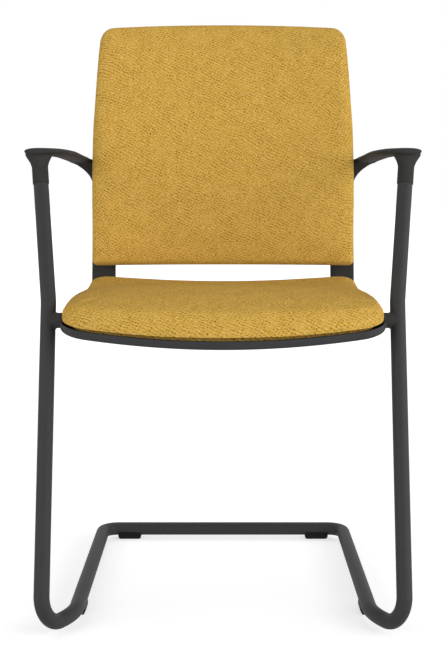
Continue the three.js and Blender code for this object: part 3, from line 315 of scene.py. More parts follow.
def woven_cloth(name, tilt, bow, lying, level, middle):
    """Cloth along a lying or a standing pad, which turns over its edges on both sides of the middle."""
    finish = Finish(name, Roughness=0.94, Specular_IOR_Level=0.06, Sheen_Weight=0.04, Sheen_Roughness=0.5)
    finish.set(Sheen_Tint=shade("e8c888"))
    place = finish.place()
    leaning = {"Vector": place, "Angle": tilt}
    leaned = finish.node("ShaderNodeVectorRotate", {"rotation_type": "X_AXIS"}, leaning)
    x, y, z = finish.split(leaned)
    facing = finish.node("ShaderNodeNewGeometry", {}, {}, "Normal")
    sideways = finish.step(abs(finish.split(facing)[0]), 0.62, 0.82)

    def weave(across, along):
        spot = finish.join(across, along)
        sway = (finish.noise(spot, 60, 1.0) - 0.5) * 14
        tug = (finish.noise(spot, 9, 1.0) - 0.5) * 5
        falling = across * SHALLOW + along * STEEP + sway + tug
        rising = across * STEEP - along * SHALLOW + sway * 0.6 - tug
        line = falling.math("COSINE", falling * (TURN / LATTICE))
        step = rising.math("COSINE", rising * (TURN / (LATTICE * 1.06)))
        yarn = along.math("COSINE", (along + tug) * (TURN / YARN)) * 0.5 + 0.5
        fibre = finish.noise(finish.join(across * 0.3, along * 1.6), 1.0, 2.0, 0.6)
        straw = finish.noise(finish.join(across * 0.4 + 70.0, along), 2.0, 1.0, 0.5)
        fleck = finish.noise(finish.join(across - 90.0, along), 2.3, 2.0, 0.65)
        return line, step, yarn, fibre, straw, fleck

    straight = y - x * x * bow
    run, rise = (straight, z) if lying else (z, straight)
    turn = finish.step(run, middle - TURN_ZONE, middle + TURN_ZONE) * 2 - 1
    drop = (rise - level) * turn
    pairs = zip(weave(x, run - drop if lying else run + drop), weave(y, z))
    line, step, yarn, fibre, straw, fleck = [over + (beside - over) * sideways for over, beside in pairs]
    clear = finish.step(finish.noise(place, 20, 2.0), 0.36, 0.62)
    pit = finish.step(line * 0.65 + step * 0.5 + (fleck - 0.5) * 8, 0.4, 1.7) * (clear * 0.3 + 0.65)
    colour = finish.mix(finish.step(fibre, 0.34, 0.66), shade("cda042"), shade("e2b654"))
    colour = finish.mix(finish.step(straw, 0.48, 0.66) * 0.75, colour, shade("edc97a"))
    colour = finish.mix((line * 0.5 + 0.5) * (clear * 0.2 + 0.1), colour, shade("a87c20"))
    finish.set(Base_Color=finish.mix(pit, colour, shade("744c06")))
    finish.bump(yarn * 0.35 + fibre * 0.45 - pit * 0.7, 0.4, 0.6)
    return finish.material


seat_middle = SEAT_CLOTH_MIDDLE + foot_to_frame
seat_cloth = woven_cloth("mustard_cloth_seat", 0.0, SEAT_CLOTH_BOW, True, SEAT_CLOTH_LEVEL, seat_middle)
print("Cloth nodes:", len(seat_cloth.node_tree.nodes))

# %% [markdown]
# ## Plywood, zinc and black steel
# The boards inside the pads, their tee nuts and the bolts are mostly hidden, but the part is looked at from
# below and taken apart too. Plywood shows long grain on its faces and stripes of ply on its edges, which a
# wave along its thickness gives. Zinc plate is a soft grey metal with a cloudy sheen, and the bolts are
# blackened steel, worn brighter at random.

# %% Plywood, zinc plate and blackened steel
def plywood_finish():
    finish = Finish("birch_plywood", Specular_IOR_Level=0.3)
    x, y, z = finish.split(finish.place())
    grain = finish.noise(finish.join(x * 0.25, y * 0.03, z), 1.5, 4.0, 0.6)
    figure = finish.noise(finish.join(x * 0.06, y * 0.008, z), 1.2, 2.0)
    plies = x.math("SINE", z * (TURN / 3.0)) * 0.5 + 0.5
    colour = finish.mix(finish.step(grain, 0.3, 0.7), shade("c29f6a"), shade("a8834f"))
    colour = finish.mix(finish.step(figure, 0.5, 0.62) * 0.4, colour, shade("8d6a3c"))
    finish.set(Base_Color=finish.mix(plies * 0.18, colour, shade("7c5b33")))
    finish.set(Roughness=0.62 + grain * 0.15)
    finish.bump(grain, 0.08, 0.4)
    return finish.material


def metal_finish(name, colour, worn, roughness, metallic):
    finish = Finish(name, Metallic=metallic)
    place = finish.place()
    cloud = finish.noise(place, 3.0, 3.0)
    finish.set(Base_Color=finish.mix(finish.step(cloud, 0.4, 0.7), shade(colour), shade(worn)))
    finish.set(Roughness=roughness + (cloud - 0.5) * 0.2)
    finish.bump(cloud, 0.02, 0.3)
    return finish.material


plywood = plywood_finish()
zinc_plate = metal_finish("zinc_plate", "a6a9ab", "8f9496", 0.36, 0.9)
black_steel = metal_finish("blackened_steel", "1f1f1f", "2e2d2c", 0.42, 0.6)
print("Other finishes:", plywood.name, zinc_plate.name, black_steel.name)

# %% [markdown]
# ## From rings to meshes
# Tubes, arms, pads and trays are all skins over rings of points, as a boat's planks lie over its frames. One
# helper joins rings of equal count by four-sided faces and closes the ends to their middle. Lofting in code
# was chosen over modelling by hand because every ring then follows from the chair's sizes, and over boolean
# work on simple bodies because it gives even, smooth faces.

# %% Skins over rings
def clean_mesh(name, points, faces):
    """A mesh from points in millimetres, with its faces turned outwards."""
    move = Vector((0, foot_to_frame, 0))
    mesh = bpy.data.meshes.new(name)
    mesh.from_pydata([(Vector(point) + move) * MM for point in points], [], faces)
    work = bmesh.new()
    work.from_mesh(mesh)
    bmesh.ops.recalc_face_normals(work, faces=work.faces)
    if work.calc_volume(signed=True) < 0:
        bmesh.ops.reverse_faces(work, faces=work.faces)
    work.to_mesh(mesh)
    work.free()
    return mesh


def loft(name, rings, looped=False):
    """A skin over rings: a loop runs from the last ring to the first, other ends run to their middle."""
    count = len(rings[0])
    points = [point for ring in rings for point in ring]
    faces = []
    for i in range(len(rings) if looped else len(rings) - 1):
        low, high = i * count, (i + 1) % len(rings) * count
        for k in range(count):
            after = (k + 1) % count
            faces.append((low + k, low + after, high + after, high + k))
    if not looped:
        for ring, first in ((rings[0], 0), (rings[-1], len(points) - count)):
            points.append(sum((Vector(point) for point in ring), Vector()) / count)
            faces += [(first + k, first + (k + 1) % count, len(points) - 1) for k in range(count)]
    return clean_mesh(name, points, faces)


def angles(sides):
    return [TURN * k / sides for k in range(sides)]


def ring_about(matrix, radius, height, sides, shape=lambda angle: 1.0):
    """Points round +Z at a radius, which a shape may change with the angle, put in place by a matrix."""
    spokes = [(a, radius * shape(a)) for a in angles(sides)]
    return [matrix @ Vector((reach * math.cos(a), reach * math.sin(a), height)) for a, reach in spokes]


def turned(name, profile, matrix, sides=40):
    """A body turned about +Z from pairs of radius and height, put in place by a matrix."""
    return loft(name, [ring_about(matrix, max(radius, 0.001), height, sides) for radius, height in profile])


def aimed(point, direction):
    """Turns +Z to a direction and moves the origin to a point."""
    turn = Vector((0, 0, 1)).rotation_difference(Vector(direction).normalized())
    return Matrix.Translation(Vector(point)) @ turn.to_matrix().to_4x4()


print("A full turn in 8:", [round(a / DEGREE) for a in angles(8)])

# %% [markdown]
# Two more kinds of step are shared. A cut takes one closed mesh away from another, which is what a drill or
# a mould's core does. And each finished piece is told which body it rides on, and the solids of the frame
# that it stands for are hidden. Soft and hard edges come from the angle between faces.

# %% Cuts and pieces
def placed(name, data):
    """An object in the scene, from a mesh or from the data of a lamp or a camera."""
    made = bpy.data.objects.new(name, data)
    bpy.context.scene.collection.objects.link(made)
    return made


def told(thing, **settings):
    """The thing itself, such as a modifier, after its settings are made."""
    for name, value in settings.items():
        setattr(thing, name, value)
    return thing


def settled(name, made):
    """The mesh that an object has after its modifiers; the object itself is thrown away."""
    bpy.context.view_layer.update()
    mesh = bpy.data.meshes.new_from_object(made.evaluated_get(bpy.context.evaluated_depsgraph_get()))
    mesh.name = name
    bpy.data.objects.remove(made)
    return mesh


def carved(name, mesh, *cutters):
    """A mesh with each cutter taken away from it."""
    work = placed(name, mesh)
    tools = [placed(name + "_tool", cutter) for cutter in cutters]
    for tool in tools:
        told(work.modifiers.new("cut", "BOOLEAN"), operation="DIFFERENCE", solver="EXACT", object=tool)
    result = settled(name, work)
    for tool in tools:
        bpy.data.objects.remove(tool)
    return result


def piece(name, mesh, material, slot, *nodes, sharp=35):
    """A finished piece: it rides on the chair's one body and hides the CAD nodes named, which it stands for.
    """
    made = placed(name, mesh)
    mesh.materials.clear()
    mesh.materials.append(material)
    mesh.polygons.foreach_set("use_smooth", [True] * len(mesh.polygons))
    mesh.set_sharp_from_angle(angle=sharp * DEGREE)
    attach(made, "root")
    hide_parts(*nodes)
    return made


# %% [markdown]
# ## The bent tube
# The frame is one steel tube, 22 mm across, bent in eight places. A bender gives straight runs and round
# bends, never free curves, so the route is built the same way: corners with a bend radius, and stations
# every few degrees round each bend. Where two runs meet, the bend is an arc that touches both.

# %% Straight runs and round bends
def bent_route(corners, degrees=3):
    """Stations of point, direction and stage along corners of point and bend radius."""
    points = [Vector(corner[0]) for corner in corners]
    stations = [(points[0], (points[1] - points[0]).normalized(), 0.0)]
    for i in range(1, len(points) - 1):
        radius = corners[i][1]
        back = (points[i - 1] - points[i]).normalized()
        ahead = (points[i + 1] - points[i]).normalized()
        half = back.angle(ahead) / 2
        sweep = math.pi - 2 * half
        centre = points[i] + (back + ahead).normalized() * (radius / math.sin(half))
        start = (points[i] + back * (radius / math.tan(half)) - centre).normalized()
        forward = -back
        steps = math.ceil(sweep / (degrees * DEGREE))
        for k in range(steps + 1):
            angle = sweep * k / steps
            spoke = start * math.cos(angle) + forward * math.sin(angle)
            tangent = forward * math.cos(angle) - start * math.sin(angle)
            stations.append((centre + spoke * radius, tangent, 2 * i - 1 + k / steps))
    stations.append((points[-1], (points[-1] - points[-2]).normalized(), 2 * len(points) - 3.0))
    return stations


LEG_SPREAD = 497
LEG_LEAN = 16.5 * DEGREE
UPPER_LEAN = 23.3 * DEGREE
UPPER_SPLAY = 6.1 * DEGREE
RUNNER_HEIGHT = 17
KNEE_HEIGHT = 455
LEG_TOP_HEIGHT = 620
RUNNER_SPREAD = 419
KNEE_RADIUS = 60
FLOOR_BEND_RADIUS = 35
SWEEP_ANGLE = 29 * DEGREE
SWEEP_RADIUS = 135
REAR_BEND_RADIUS = 27


def frame_corners(side):
    leg = side * LEG_SPREAD / 2
    runner = side * RUNNER_SPREAD / 2
    knee_y = (KNEE_HEIGHT - RUNNER_HEIGHT) * math.tan(LEG_LEAN)
    rise = LEG_TOP_HEIGHT - KNEE_HEIGHT
    turn_y = abs(leg - runner) / math.tan(SWEEP_ANGLE)
    top = (leg + side * rise * math.tan(UPPER_SPLAY), knee_y + rise * math.tan(UPPER_LEAN), LEG_TOP_HEIGHT)
    return [
        (top, 0),
        ((leg, knee_y, KNEE_HEIGHT), KNEE_RADIUS),
        ((leg, 0, RUNNER_HEIGHT), FLOOR_BEND_RADIUS),
        ((runner, turn_y, RUNNER_HEIGHT), SWEEP_RADIUS),
        ((runner, BASE_DEPTH, RUNNER_HEIGHT), REAR_BEND_RADIUS),
    ]


frame_route = bent_route(frame_corners(LEFT) + frame_corners(RIGHT)[::-1])
tube_length = sum((b[0] - a[0]).length for a, b in zip(frame_route, frame_route[1:]))
print("Tube route:", len(frame_route), "stations,", round(tube_length), "mm of tube")

# %% [markdown]
# A round section is then carried along the route. Its first spoke is turned from station to station by just
# the turn of the tube itself, so the mesh never twists. The tube is skinned outside and inside, because its
# ends are open under the arms' collars. Small holes take the pegs of the glides and the two grub screws.

# %% Sweep the tube
TUBE_WALL = 2
TUBE_SIDES = 56
GLIDE_UNDER_TUBE = 6
PEG_RADIUS = 3
REAR_GLIDE_X = 164
FRONT_GLIDE_Y = 134
GRUB_SCREW_RADIUS = 2.5
GRUB_SCREW_DROP = 20
HOLE_PLAY = 0.3


def swept_rings(radius, sides):
    """Rings of a round section along the frame's route."""
    spoke = frame_route[0][1].orthogonal().normalized()
    rings = []
    for i, (point, tangent, _) in enumerate(frame_route):
        if i:
            spoke = frame_route[i - 1][1].rotation_difference(tangent) @ spoke
        other = tangent.cross(spoke).normalized()
        rings.append([point + (spoke * math.cos(a) + other * math.sin(a)) * radius for a in angles(sides)])
    return rings


def runner_at(side, y):
    """Place and direction of the tube where it passes a depth on one side's runner."""
    low = [s for s in frame_route if s[0].x * side > 0 and s[0].z - RUNNER_HEIGHT < 0.3]
    low.sort(key=lambda s: s[0].y)
    after = next(i for i, s in enumerate(low) if s[0].y > y)
    first, second = low[after - 1][0], low[after][0]
    share = (y - first.y) / (second.y - first.y)
    return first.lerp(second, share), (second - first).normalized()


def leg_top(side):
    top, knee = [Vector(corner[0]) for corner in frame_corners(side)[:2]]
    return top, (top - knee).normalized()


def grub_screw_matrix(side):
    point, axis = leg_top(side)
    inward = Vector((0, -1, 0))
    inward = (inward - axis * inward.dot(axis)).normalized()
    return aimed(point - axis * GRUB_SCREW_DROP - inward * TUBE_RADIUS, inward)


def rod(name, radius, low, high, matrix, sides=40):
    return turned(name, [(radius, low), (radius, high)], matrix, sides)


glide_places = {}
for hand, side in SIDES.items():
    glide_places["front_" + hand] = runner_at(side, FRONT_GLIDE_Y)
    rear = Vector((side * REAR_GLIDE_X, BASE_DEPTH, RUNNER_HEIGHT))
    glide_places["rear_" + hand] = (rear, Vector((1, 0, 0)))
frame_holes = [
    rod("peg_hole", PEG_RADIUS + HOLE_PLAY, 2, 12, Matrix.Translation((point.x, point.y, 0)))
    for point, _ in glide_places.values()
]
screw_hole_radius = GRUB_SCREW_RADIUS + HOLE_PLAY
frame_holes += [
    rod("screw_hole", screw_hole_radius, -4, 6, grub_screw_matrix(side)) for side in (LEFT, RIGHT)
]
tube_rings = swept_rings(TUBE_RADIUS, TUBE_SIDES) + swept_rings(TUBE_RADIUS - TUBE_WALL, TUBE_SIDES)[::-1]
tube = carved("sled_tube", loft("sled_tube", tube_rings, looped=True), *frame_holes)
piece("sled_tube", tube, tube_coat, "frame_coat", "sled_frame")
print("Sled tube faces:", len(tube.polygons))

# %% [markdown]
# ## The cross tube and its welds
# A straight tube joins the legs under the front of the seat, and carries the seat's rails. Each end is
# coped: cut to the curve of the leg that it meets. That curve is known exactly, because both are round, so
# each line of the tube simply ends where it meets the leg. The weld fills the corner with a small hollow
# fillet, which fades out at the front and the rear, where the two tubes touch without a corner. The coat
# flows over it, so tube and weld are one skin.

# %% Cross tube
CROSS_TUBE_HEIGHT = 428.5
CROSS_SIDES = 96
FILLET = 3.2
WELD_RIPPLE = 0.12
cross_tube_y = (CROSS_TUBE_HEIGHT - RUNNER_HEIGHT) * math.tan(LEG_LEAN)


def cope_point(angle, radius):
    """Where the cross tube's line at an angle and a radius meets the right leg's surface."""
    dy, dz = radius * math.cos(angle), radius * math.sin(angle)
    off = dy * math.cos(LEG_LEAN) - dz * math.sin(LEG_LEAN)
    reach = math.sqrt(max(0.0, TUBE_RADIUS ** 2 - off ** 2))
    return Vector((LEG_SPREAD / 2 - reach, cross_tube_y + dy, CROSS_TUBE_HEIGHT + dz))


def fillet_ring(share):
    """A ring of the weld: from the cross tube, share 0, in a hollow curve to the leg, share 1."""
    ring = []
    for angle in angles(CROSS_SIDES):
        room = TUBE_RADIUS / max(1e-6, abs(math.cos(angle + LEG_LEAN))) - TUBE_RADIUS
        size = min(FILLET, 0.85 * room)
        corner = cope_point(angle, TUBE_RADIUS)
        start = corner - Vector((size + 0.3, 0, 0))
        end = cope_point(angle, TUBE_RADIUS + size)
        ripple = WELD_RIPPLE * math.sin(angle * 22) * share * (1 - share) * 4
        spot = start * (1 - share) ** 2 + corner * (2 * share * (1 - share)) + end * share ** 2
        ring.append(spot + Vector((-ripple * size / FILLET, 0, 0)))
    return ring


def drawn_out(ring, share):
    """The ring moved along the cross tube, to a share of its distance from the chair's middle."""
    return [Vector((p.x * share, p.y, p.z)) for p in ring]


weld = [fillet_ring(k / 10) for k in range(11)]
bore = [cope_point(angle, TUBE_RADIUS - TUBE_WALL) for angle in angles(CROSS_SIDES)]
cross_rings = [drawn_out(ring, -1) for ring in weld[::-1]]
cross_rings += [drawn_out(weld[0], share) for share in (-0.9, -0.5, 0, 0.5, 0.9)] + weld
cross_rings += [drawn_out(bore, share) for share in (1, 0.5, 0, -0.5, -1)]
cross_tube = loft("seat_cross_tube_welded", cross_rings, looped=True)
piece("seat_cross_tube_welded", cross_tube, tube_coat, "frame_coat", "seat_cross_tube")
print("Cross tube at depth", round(cross_tube_y, 1), "mm, height", CROSS_TUBE_HEIGHT, "mm")

# %% [markdown]
# ## Glides
# Four black saddles keep the steel off the floor. Each is a block with rounded foot edges, hollowed on top
# to the curve of the tube, with a peg into a hole. The block is a loft of rounded sections that shrink at
# its ends, and the hollow is cut by the very tube that lies in it, a hair larger.

# %% Glides
GLIDE_LENGTH = 40
GLIDE_WIDTH = 21.6
GLIDE_FOOT_WIDTH = 16
GLIDE_HEIGHT = 12.5
GLIDE_END = 0.78
GLIDE_END_LIFT = 4.2
GLIDE_END_PINCH = 1.4


def glide_section(way):
    """A section of the glide at a way from -1 to 1 along it: narrow foot, full sides, rounded corners."""
    ease = max(0.0, (abs(way) - GLIDE_END) / (1 - GLIDE_END))
    lift = GLIDE_END_LIFT * (1 - math.sqrt(max(0.0, 1 - ease ** 2)))
    pinch = GLIDE_END_PINCH * ease ** 2
    foot, side = GLIDE_FOOT_WIDTH / 2 - pinch, GLIDE_WIDTH / 2 - pinch
    seam, top = GLIDE_UNDER_TUBE, GLIDE_HEIGHT
    half = [
        (0, lift), (foot * 0.5, lift), (foot - 1.2, lift), (foot - 0.35, lift + 0.3),
        (foot + 0.2, lift + 1.1), (side - 0.7, seam - 0.9), (side - 0.15, seam), (side, seam + 1),
        (side, top - 0.8), (side - 0.3, top - 0.2), (side - 0.9, top), (side * 0.5, top), (0, top),
    ]
    return half + [(-a, b) for a, b in half[-2:0:-1]]


def joined(name, *meshes):
    """Several meshes as one."""
    work = bmesh.new()
    for mesh in meshes:
        work.from_mesh(mesh)
    result = bpy.data.meshes.new(name)
    work.to_mesh(result)
    work.free()
    return result


def glide_mesh(name, point, tangent):
    foot = Matrix.Translation((point.x, point.y, 0))
    matrix = foot @ Matrix.Rotation(math.atan2(tangent.y, tangent.x), 4, "Z")
    rings = []
    for k in range(-16, 17):
        way = math.sin(TURN / 4 * k / 16)
        rings.append([matrix @ Vector((way * GLIDE_LENGTH / 2, a, b)) for a, b in glide_section(way)])
    lying = loft("lying_tube", swept_rings(TUBE_RADIUS + 0.12, 48))
    peg = rod("peg", PEG_RADIUS, GLIDE_UNDER_TUBE - 1, GLIDE_UNDER_TUBE + 5, foot)
    return joined(name, carved(name, loft(name, rings), lying), peg)


for place, (point, tangent) in glide_places.items():
    mesh = glide_mesh("saddle_glide_" + place, point, tangent)
    piece("saddle_glide_" + place, mesh, glide_plastic, "glide_plastic", "glide_" + place, sharp=50)
    print("Glide", place, "at", [round(v, 1) for v in point], "faces", len(mesh.polygons))

# %% [markdown]
# ## The back's place
# The arms meet the back, so the back's place comes first. The back is a shallow curve round the sitter, one
# metre in radius, tilted eleven degrees. A point on it is given by a depth behind its front face and a
# height above its lower edge.

# %% Places on the back
BACK_TILT = 11 * DEGREE
BACK_BOTTOM = 487.8
BACK_FRONT = 500.89
BACK_CURVE_RADIUS = 1000
BACK_WIDTH = 444.4
BACK_HEIGHT = 417.5
BACK_FOAM = 22
BACK_BOARD = 10
BOARD_REAR = BACK_CURVE_RADIUS + BACK_FOAM + BACK_BOARD
SHELL_FACE = BOARD_REAR + 0.3
SHELL_REAR = SHELL_FACE + 3
UPRIGHT_SPACING = 409
UPRIGHT_THICKNESS = 12
UPRIGHT_STANDOFF = 18
shell_depth = math.sqrt(SHELL_REAR ** 2 - (UPRIGHT_SPACING / 2) ** 2) - BACK_CURVE_RADIUS
upright_depth = shell_depth + UPRIGHT_STANDOFF + UPRIGHT_THICKNESS / 2
bolt_angle = math.atan(UPRIGHT_SPACING / 2 / (BACK_CURVE_RADIUS + upright_depth))
bolt_seat = (BACK_CURVE_RADIUS + upright_depth) / math.cos(bolt_angle)
back_matrix = Matrix.Translation((0, BACK_FRONT, BACK_BOTTOM)) @ Matrix.Rotation(-BACK_TILT, 4, "X")


def on_back(side, radius, height, forward):
    """A place square to the back's curve, at one of its bolts, pointing forward or to the rear."""
    angle = side * bolt_angle
    rearward = Vector((math.sin(angle), math.cos(angle), 0))
    point = rearward * radius + Vector((0, -BACK_CURVE_RADIUS, height))
    return back_matrix @ aimed(point, -rearward if forward else rearward)


def upright_at(height_above_floor):
    way = (height_above_floor - BACK_BOTTOM + upright_depth * math.sin(BACK_TILT)) / math.cos(BACK_TILT)
    return back_matrix @ Vector((0, upright_depth, way))


print("Uprights stand", round(upright_depth, 1), "mm behind the back's face")

# %% [markdown]
# ## The arms
# Each arm is a casting: a flat pad over the leg, which narrows and turns down into an upright behind the
# back, and turns forward again as a tongue under the seat. Its section changes all the way, so the drawing
# is a table: at each stage the place across the chair, the width, the fullness over and under the axis, and
# how square or keeled it is. The table is read smoothly, with curves that never overshoot a row, and each
# ring is a superellipse.

# %% A smooth reading of a table
def between(rows, way):
    """Smooth values between rows whose first column is the way along."""
    last = len(rows) - 1
    i = next((k - 1 for k, row in enumerate(rows) if row[0] > way), last - 1)

    def slope(k, column):
        if k in (0, last):
            return 0.0
        before = (rows[k][column] - rows[k - 1][column]) / (rows[k][0] - rows[k - 1][0])
        after = (rows[k + 1][column] - rows[k][column]) / (rows[k + 1][0] - rows[k][0])
        return 2 * before * after / (before + after) if before * after > 0 else 0.0

    gap = rows[i + 1][0] - rows[i][0]
    t = (way - rows[i][0]) / gap
    start, leave = 2 * t ** 3 - 3 * t ** 2 + 1, t ** 3 - 2 * t ** 2 + t
    end, arrive = 3 * t ** 2 - 2 * t ** 3, t ** 3 - t ** 2
    return [
        rows[i][c] * start + gap * slope(i, c) * leave + rows[i + 1][c] * end + gap * slope(i + 1, c) * arrive
        for c in range(len(rows[0]))
    ]


ARM_AXIS_HEIGHT = 668
ARM_OVERHANG = 27
ARM_NOSE_LENGTH = 22
ARM_THICKNESS = 19
ARM_DROP = 5.6
ARM_BEND_RADIUS = 36
ARM_REAR_WIDTH = 36.7
ARM_BESIDE_BACK = 6.5
TONGUE_AXIS = 435.5
TONGUE_BEND_RADIUS = 16
TONGUE_LENGTH = 125
RAIL_SPACING = 380

top_point, top_axis = leg_top(LEFT)
arm_rise = (ARM_AXIS_HEIGHT - top_point.z) / top_axis.z
arm_front_x = top_point.x + top_axis.x * arm_rise
arm_nose_y = top_point.y + top_axis.y * arm_rise - ARM_OVERHANG
tongue_end = upright_at(TONGUE_AXIS).y - TONGUE_LENGTH

arm_sizes = [
    [0, 47, ARM_THICKNESS], [1, ARM_REAR_WIDTH, ARM_THICKNESS],
    [2, 40.6, UPRIGHT_THICKNESS], [3, 40.6, UPRIGHT_THICKNESS], [4, 34, 8], [5, 34, 8],
]
arm_side_x = -(BACK_WIDTH + ARM_REAR_WIDTH) / 2 - ARM_BESIDE_BACK
arm_axis_places = [arm_front_x, arm_side_x, -UPRIGHT_SPACING / 2, -RAIL_SPACING / 2]
arm_shape = [
    [0, 0, 1, 0.315, 0.249, 0.2, -0.56],
    [0.2, 0.668, 1.012, 0.379, 0.235, 0.2, -0.56],
    [0.5, 0.975, 0.989, 0.404, 0.227, 0.2, -0.56],
    [0.78, 0.988, 0.997, 0.295, 0.275, 0.35, -0.3],
    [1, 1, 1.001, 0.223, 0.301, 0.5, -0.05],
    [1.15, 1.037, 0.989, 0.212, 0.308, 0.56, 0.13],
    [1.3, 1.258, 0.999, 0.244, 0.333, 0.62, 0.3],
    [1.45, 1.475, 1.005, 0.301, 0.379, 0.66, 0.42],
    [1.6, 1.675, 0.991, 0.366, 0.428, 0.62, 0.5],
    [1.8, 1.888, 0.993, 0.449, 0.482, 0.6, 0.56],
    [2, 2, 1, 0.5, 0.5, 0.6, 0.6],
    [3, 2, 1, 0.5, 0.5, 0.6, 0.6],
    [4, 3, 1, 0.5, 0.5, 0.75, 0.75],
    [5, 3, 1, 0.5, 0.5, 0.75, 0.75],
]
print("Arm from", [round(v, 1) for v in (arm_front_x, arm_nose_y, ARM_AXIS_HEIGHT)], "mm")

# %% Rings of the arm
SECTION_POINTS = 56
NOSE_RINGS = 16


def arm_stations():
    """Place, direction, stage and way behind the nose of each ring along the arm."""
    route = bent_route([
        ((0, arm_nose_y, ARM_AXIS_HEIGHT), 0), (upright_at(ARM_AXIS_HEIGHT - ARM_DROP), ARM_BEND_RADIUS),
        (upright_at(TONGUE_AXIS), TONGUE_BEND_RADIUS), ((0, tongue_end, TONGUE_AXIS), 0),
    ])
    stations = []
    for i, (start, end) in enumerate(zip(route, route[1:])):
        length = (end[0] - start[0]).length
        ways = [0.0]
        if i == 0:
            nose = ARM_NOSE_LENGTH / length
            ways = [nose * (1 - math.cos(TURN / 4 * k / NOSE_RINGS)) for k in range(1, NOSE_RINGS)]
            ways += [nose + (1 - nose) * k / 60 for k in range(60)]
        elif start[2] % 2 == 0:
            ways = [k / 30 for k in range(30)]
        for way in ways:
            reach = way * length if i == 0 else ARM_NOSE_LENGTH
            stage = start[2] + (end[2] - start[2]) * way
            stations.append((start[0].lerp(end[0], way), start[1], stage, reach))
    stations.append((*route[-1], ARM_NOSE_LENGTH))
    return stations


def arm_ring(point, tangent, stage, reach):
    _, inward, width, over, under, boxy, keel = between(arm_shape, stage)
    _, full_width, full_thickness = between(arm_sizes, stage)
    nose = min(1.0, reach / ARM_NOSE_LENGTH)
    rounding = math.sqrt(1 - (1 - nose) ** 2)
    first = min(int(inward), len(arm_axis_places) - 2)
    x = arm_axis_places[first] + (arm_axis_places[first + 1] - arm_axis_places[first]) * (inward - first)
    normal = Vector((0, -tangent.z, tangent.y))
    ring = []
    for angle in angles(SECTION_POINTS):
        fullness = boxy if math.sin(angle) > 0 else keel
        across = math.copysign(abs(math.cos(angle)) ** (1 - boxy), math.cos(angle))
        along = math.copysign(abs(math.sin(angle)) ** (1 - fullness), math.sin(angle))
        height = full_thickness * (over if along > 0 else under) * math.sqrt(rounding)
        spot = point + normal * (along * height)
        ring.append(Vector((x + across * full_width / 2 * width * rounding, spot.y, spot.z)))
    return ring


arm_bar = loft("arm_bar", [arm_ring(*station) for station in arm_stations()])
print("Arm bar faces:", len(arm_bar.polygons))

# %% [markdown]
# The loft alone would meet the collar and the bosses in hard lines, and castings have none: the pattern
# maker rounds every inner corner. So bar, collar and bosses are put together as one voxel mesh and smoothed
# a little, which fills the corners as a fillet does. Holes are drilled afterwards, so they stay crisp.

# %% The collar, the bosses and the casting
COLLAR_RADIUS = 12
BOSS_RADIUS = 10
CAST_VOXEL = 1.3
CAST_ROUNDING = 5
BACK_BOLT_HEIGHTS = {"lower": 28, "upper": 90}
collar_flare = [[0.55, 1], [0.63, 1.06], [0.73, 1.18], [0.83, 1.37], [0.92, 1.57], [1, 1.72]]
collar_matrix = aimed(top_point, top_axis)
collar_top = arm_rise - ARM_THICKNESS / 2 * 0.3
collar_profile = [(COLLAR_RADIUS - 0.5, 0.3), (COLLAR_RADIUS, 0.8), (COLLAR_RADIUS, collar_top * 0.3)]
flare_start = collar_flare[0][0]
for k in range(31):
    way = flare_start + (1 - flare_start) * k / 30
    collar_profile.append((COLLAR_RADIUS * between(collar_flare, way)[1], collar_top * way))
collar = turned("collar", collar_profile, collar_matrix, 72)
bosses = [
    rod("boss", BOSS_RADIUS, SHELL_FACE - bolt_seat, 0, on_back(LEFT, bolt_seat, height, False))
    for height in BACK_BOLT_HEIGHTS.values()
]
casting = placed("arm_casting", joined("arm_casting", arm_bar, collar, *bosses))
told(casting.modifiers.new("voxels", "REMESH"), mode="VOXEL", voxel_size=CAST_VOXEL * MM)
told(casting.modifiers.new("fettled", "SMOOTH"), factor=0.5, iterations=CAST_ROUNDING)
cast_mesh = settled("arm_casting", casting)
print("Casting faces:", len(cast_mesh.polygons))

# %% The drilled holes and the spigot
COUNTERBORE_RADIUS = 5.8
BOLT_BORE_RADIUS = 3.3
SPIGOT_RADIUS = 8.7
SPIGOT_LENGTH = 40
TONGUE_BOLTS = (14, 48)
drills = []
for height in BACK_BOLT_HEIGHTS.values():
    seat = on_back(LEFT, bolt_seat, height, True)
    drills.append(rod("counterbore", COUNTERBORE_RADIUS, -12, 0, seat))
    drills.append(rod("bolt_bore", BOLT_BORE_RADIUS, -1, 40, seat, 24))
for bolt in TONGUE_BOLTS:
    seat = Matrix.Translation((-RAIL_SPACING / 2, tongue_end + bolt, TONGUE_AXIS))
    drills.append(rod("tongue_bore", BOLT_BORE_RADIUS, -9, 9, seat, 24))
spigot_profile = [
    (SPIGOT_RADIUS - 0.6, -SPIGOT_LENGTH), (SPIGOT_RADIUS, -SPIGOT_LENGTH + 1), (SPIGOT_RADIUS, 1.5),
]
screw_hole = rod("screw_hole", screw_hole_radius, -4, 7.3, grub_screw_matrix(LEFT))
spigot = carved("spigot", turned("spigot", spigot_profile, collar_matrix), screw_hole)
left_arm = joined("arm_left_cast", carved("arm_left_cast", cast_mesh, *drills), spigot)
print("Left arm faces:", len(left_arm.polygons))

# %% [markdown]
# The right arm is the left one seen in a mirror: the mesh is copied, its x turned round, and its faces
# flipped so that they still point outwards.

# %% Both arms
right_arm = left_arm.copy()
right_arm.name = "arm_right_cast"
right_arm.transform(Matrix.Scale(-1, 4, (1, 0, 0)))
right_arm.flip_normals()
piece("arm_left_cast", left_arm, arm_coat, "arm_coat", "arm_left", sharp=40)
piece("arm_right_cast", right_arm, arm_coat, "arm_coat", "arm_right", sharp=40)
print("Right arm faces:", len(right_arm.polygons))

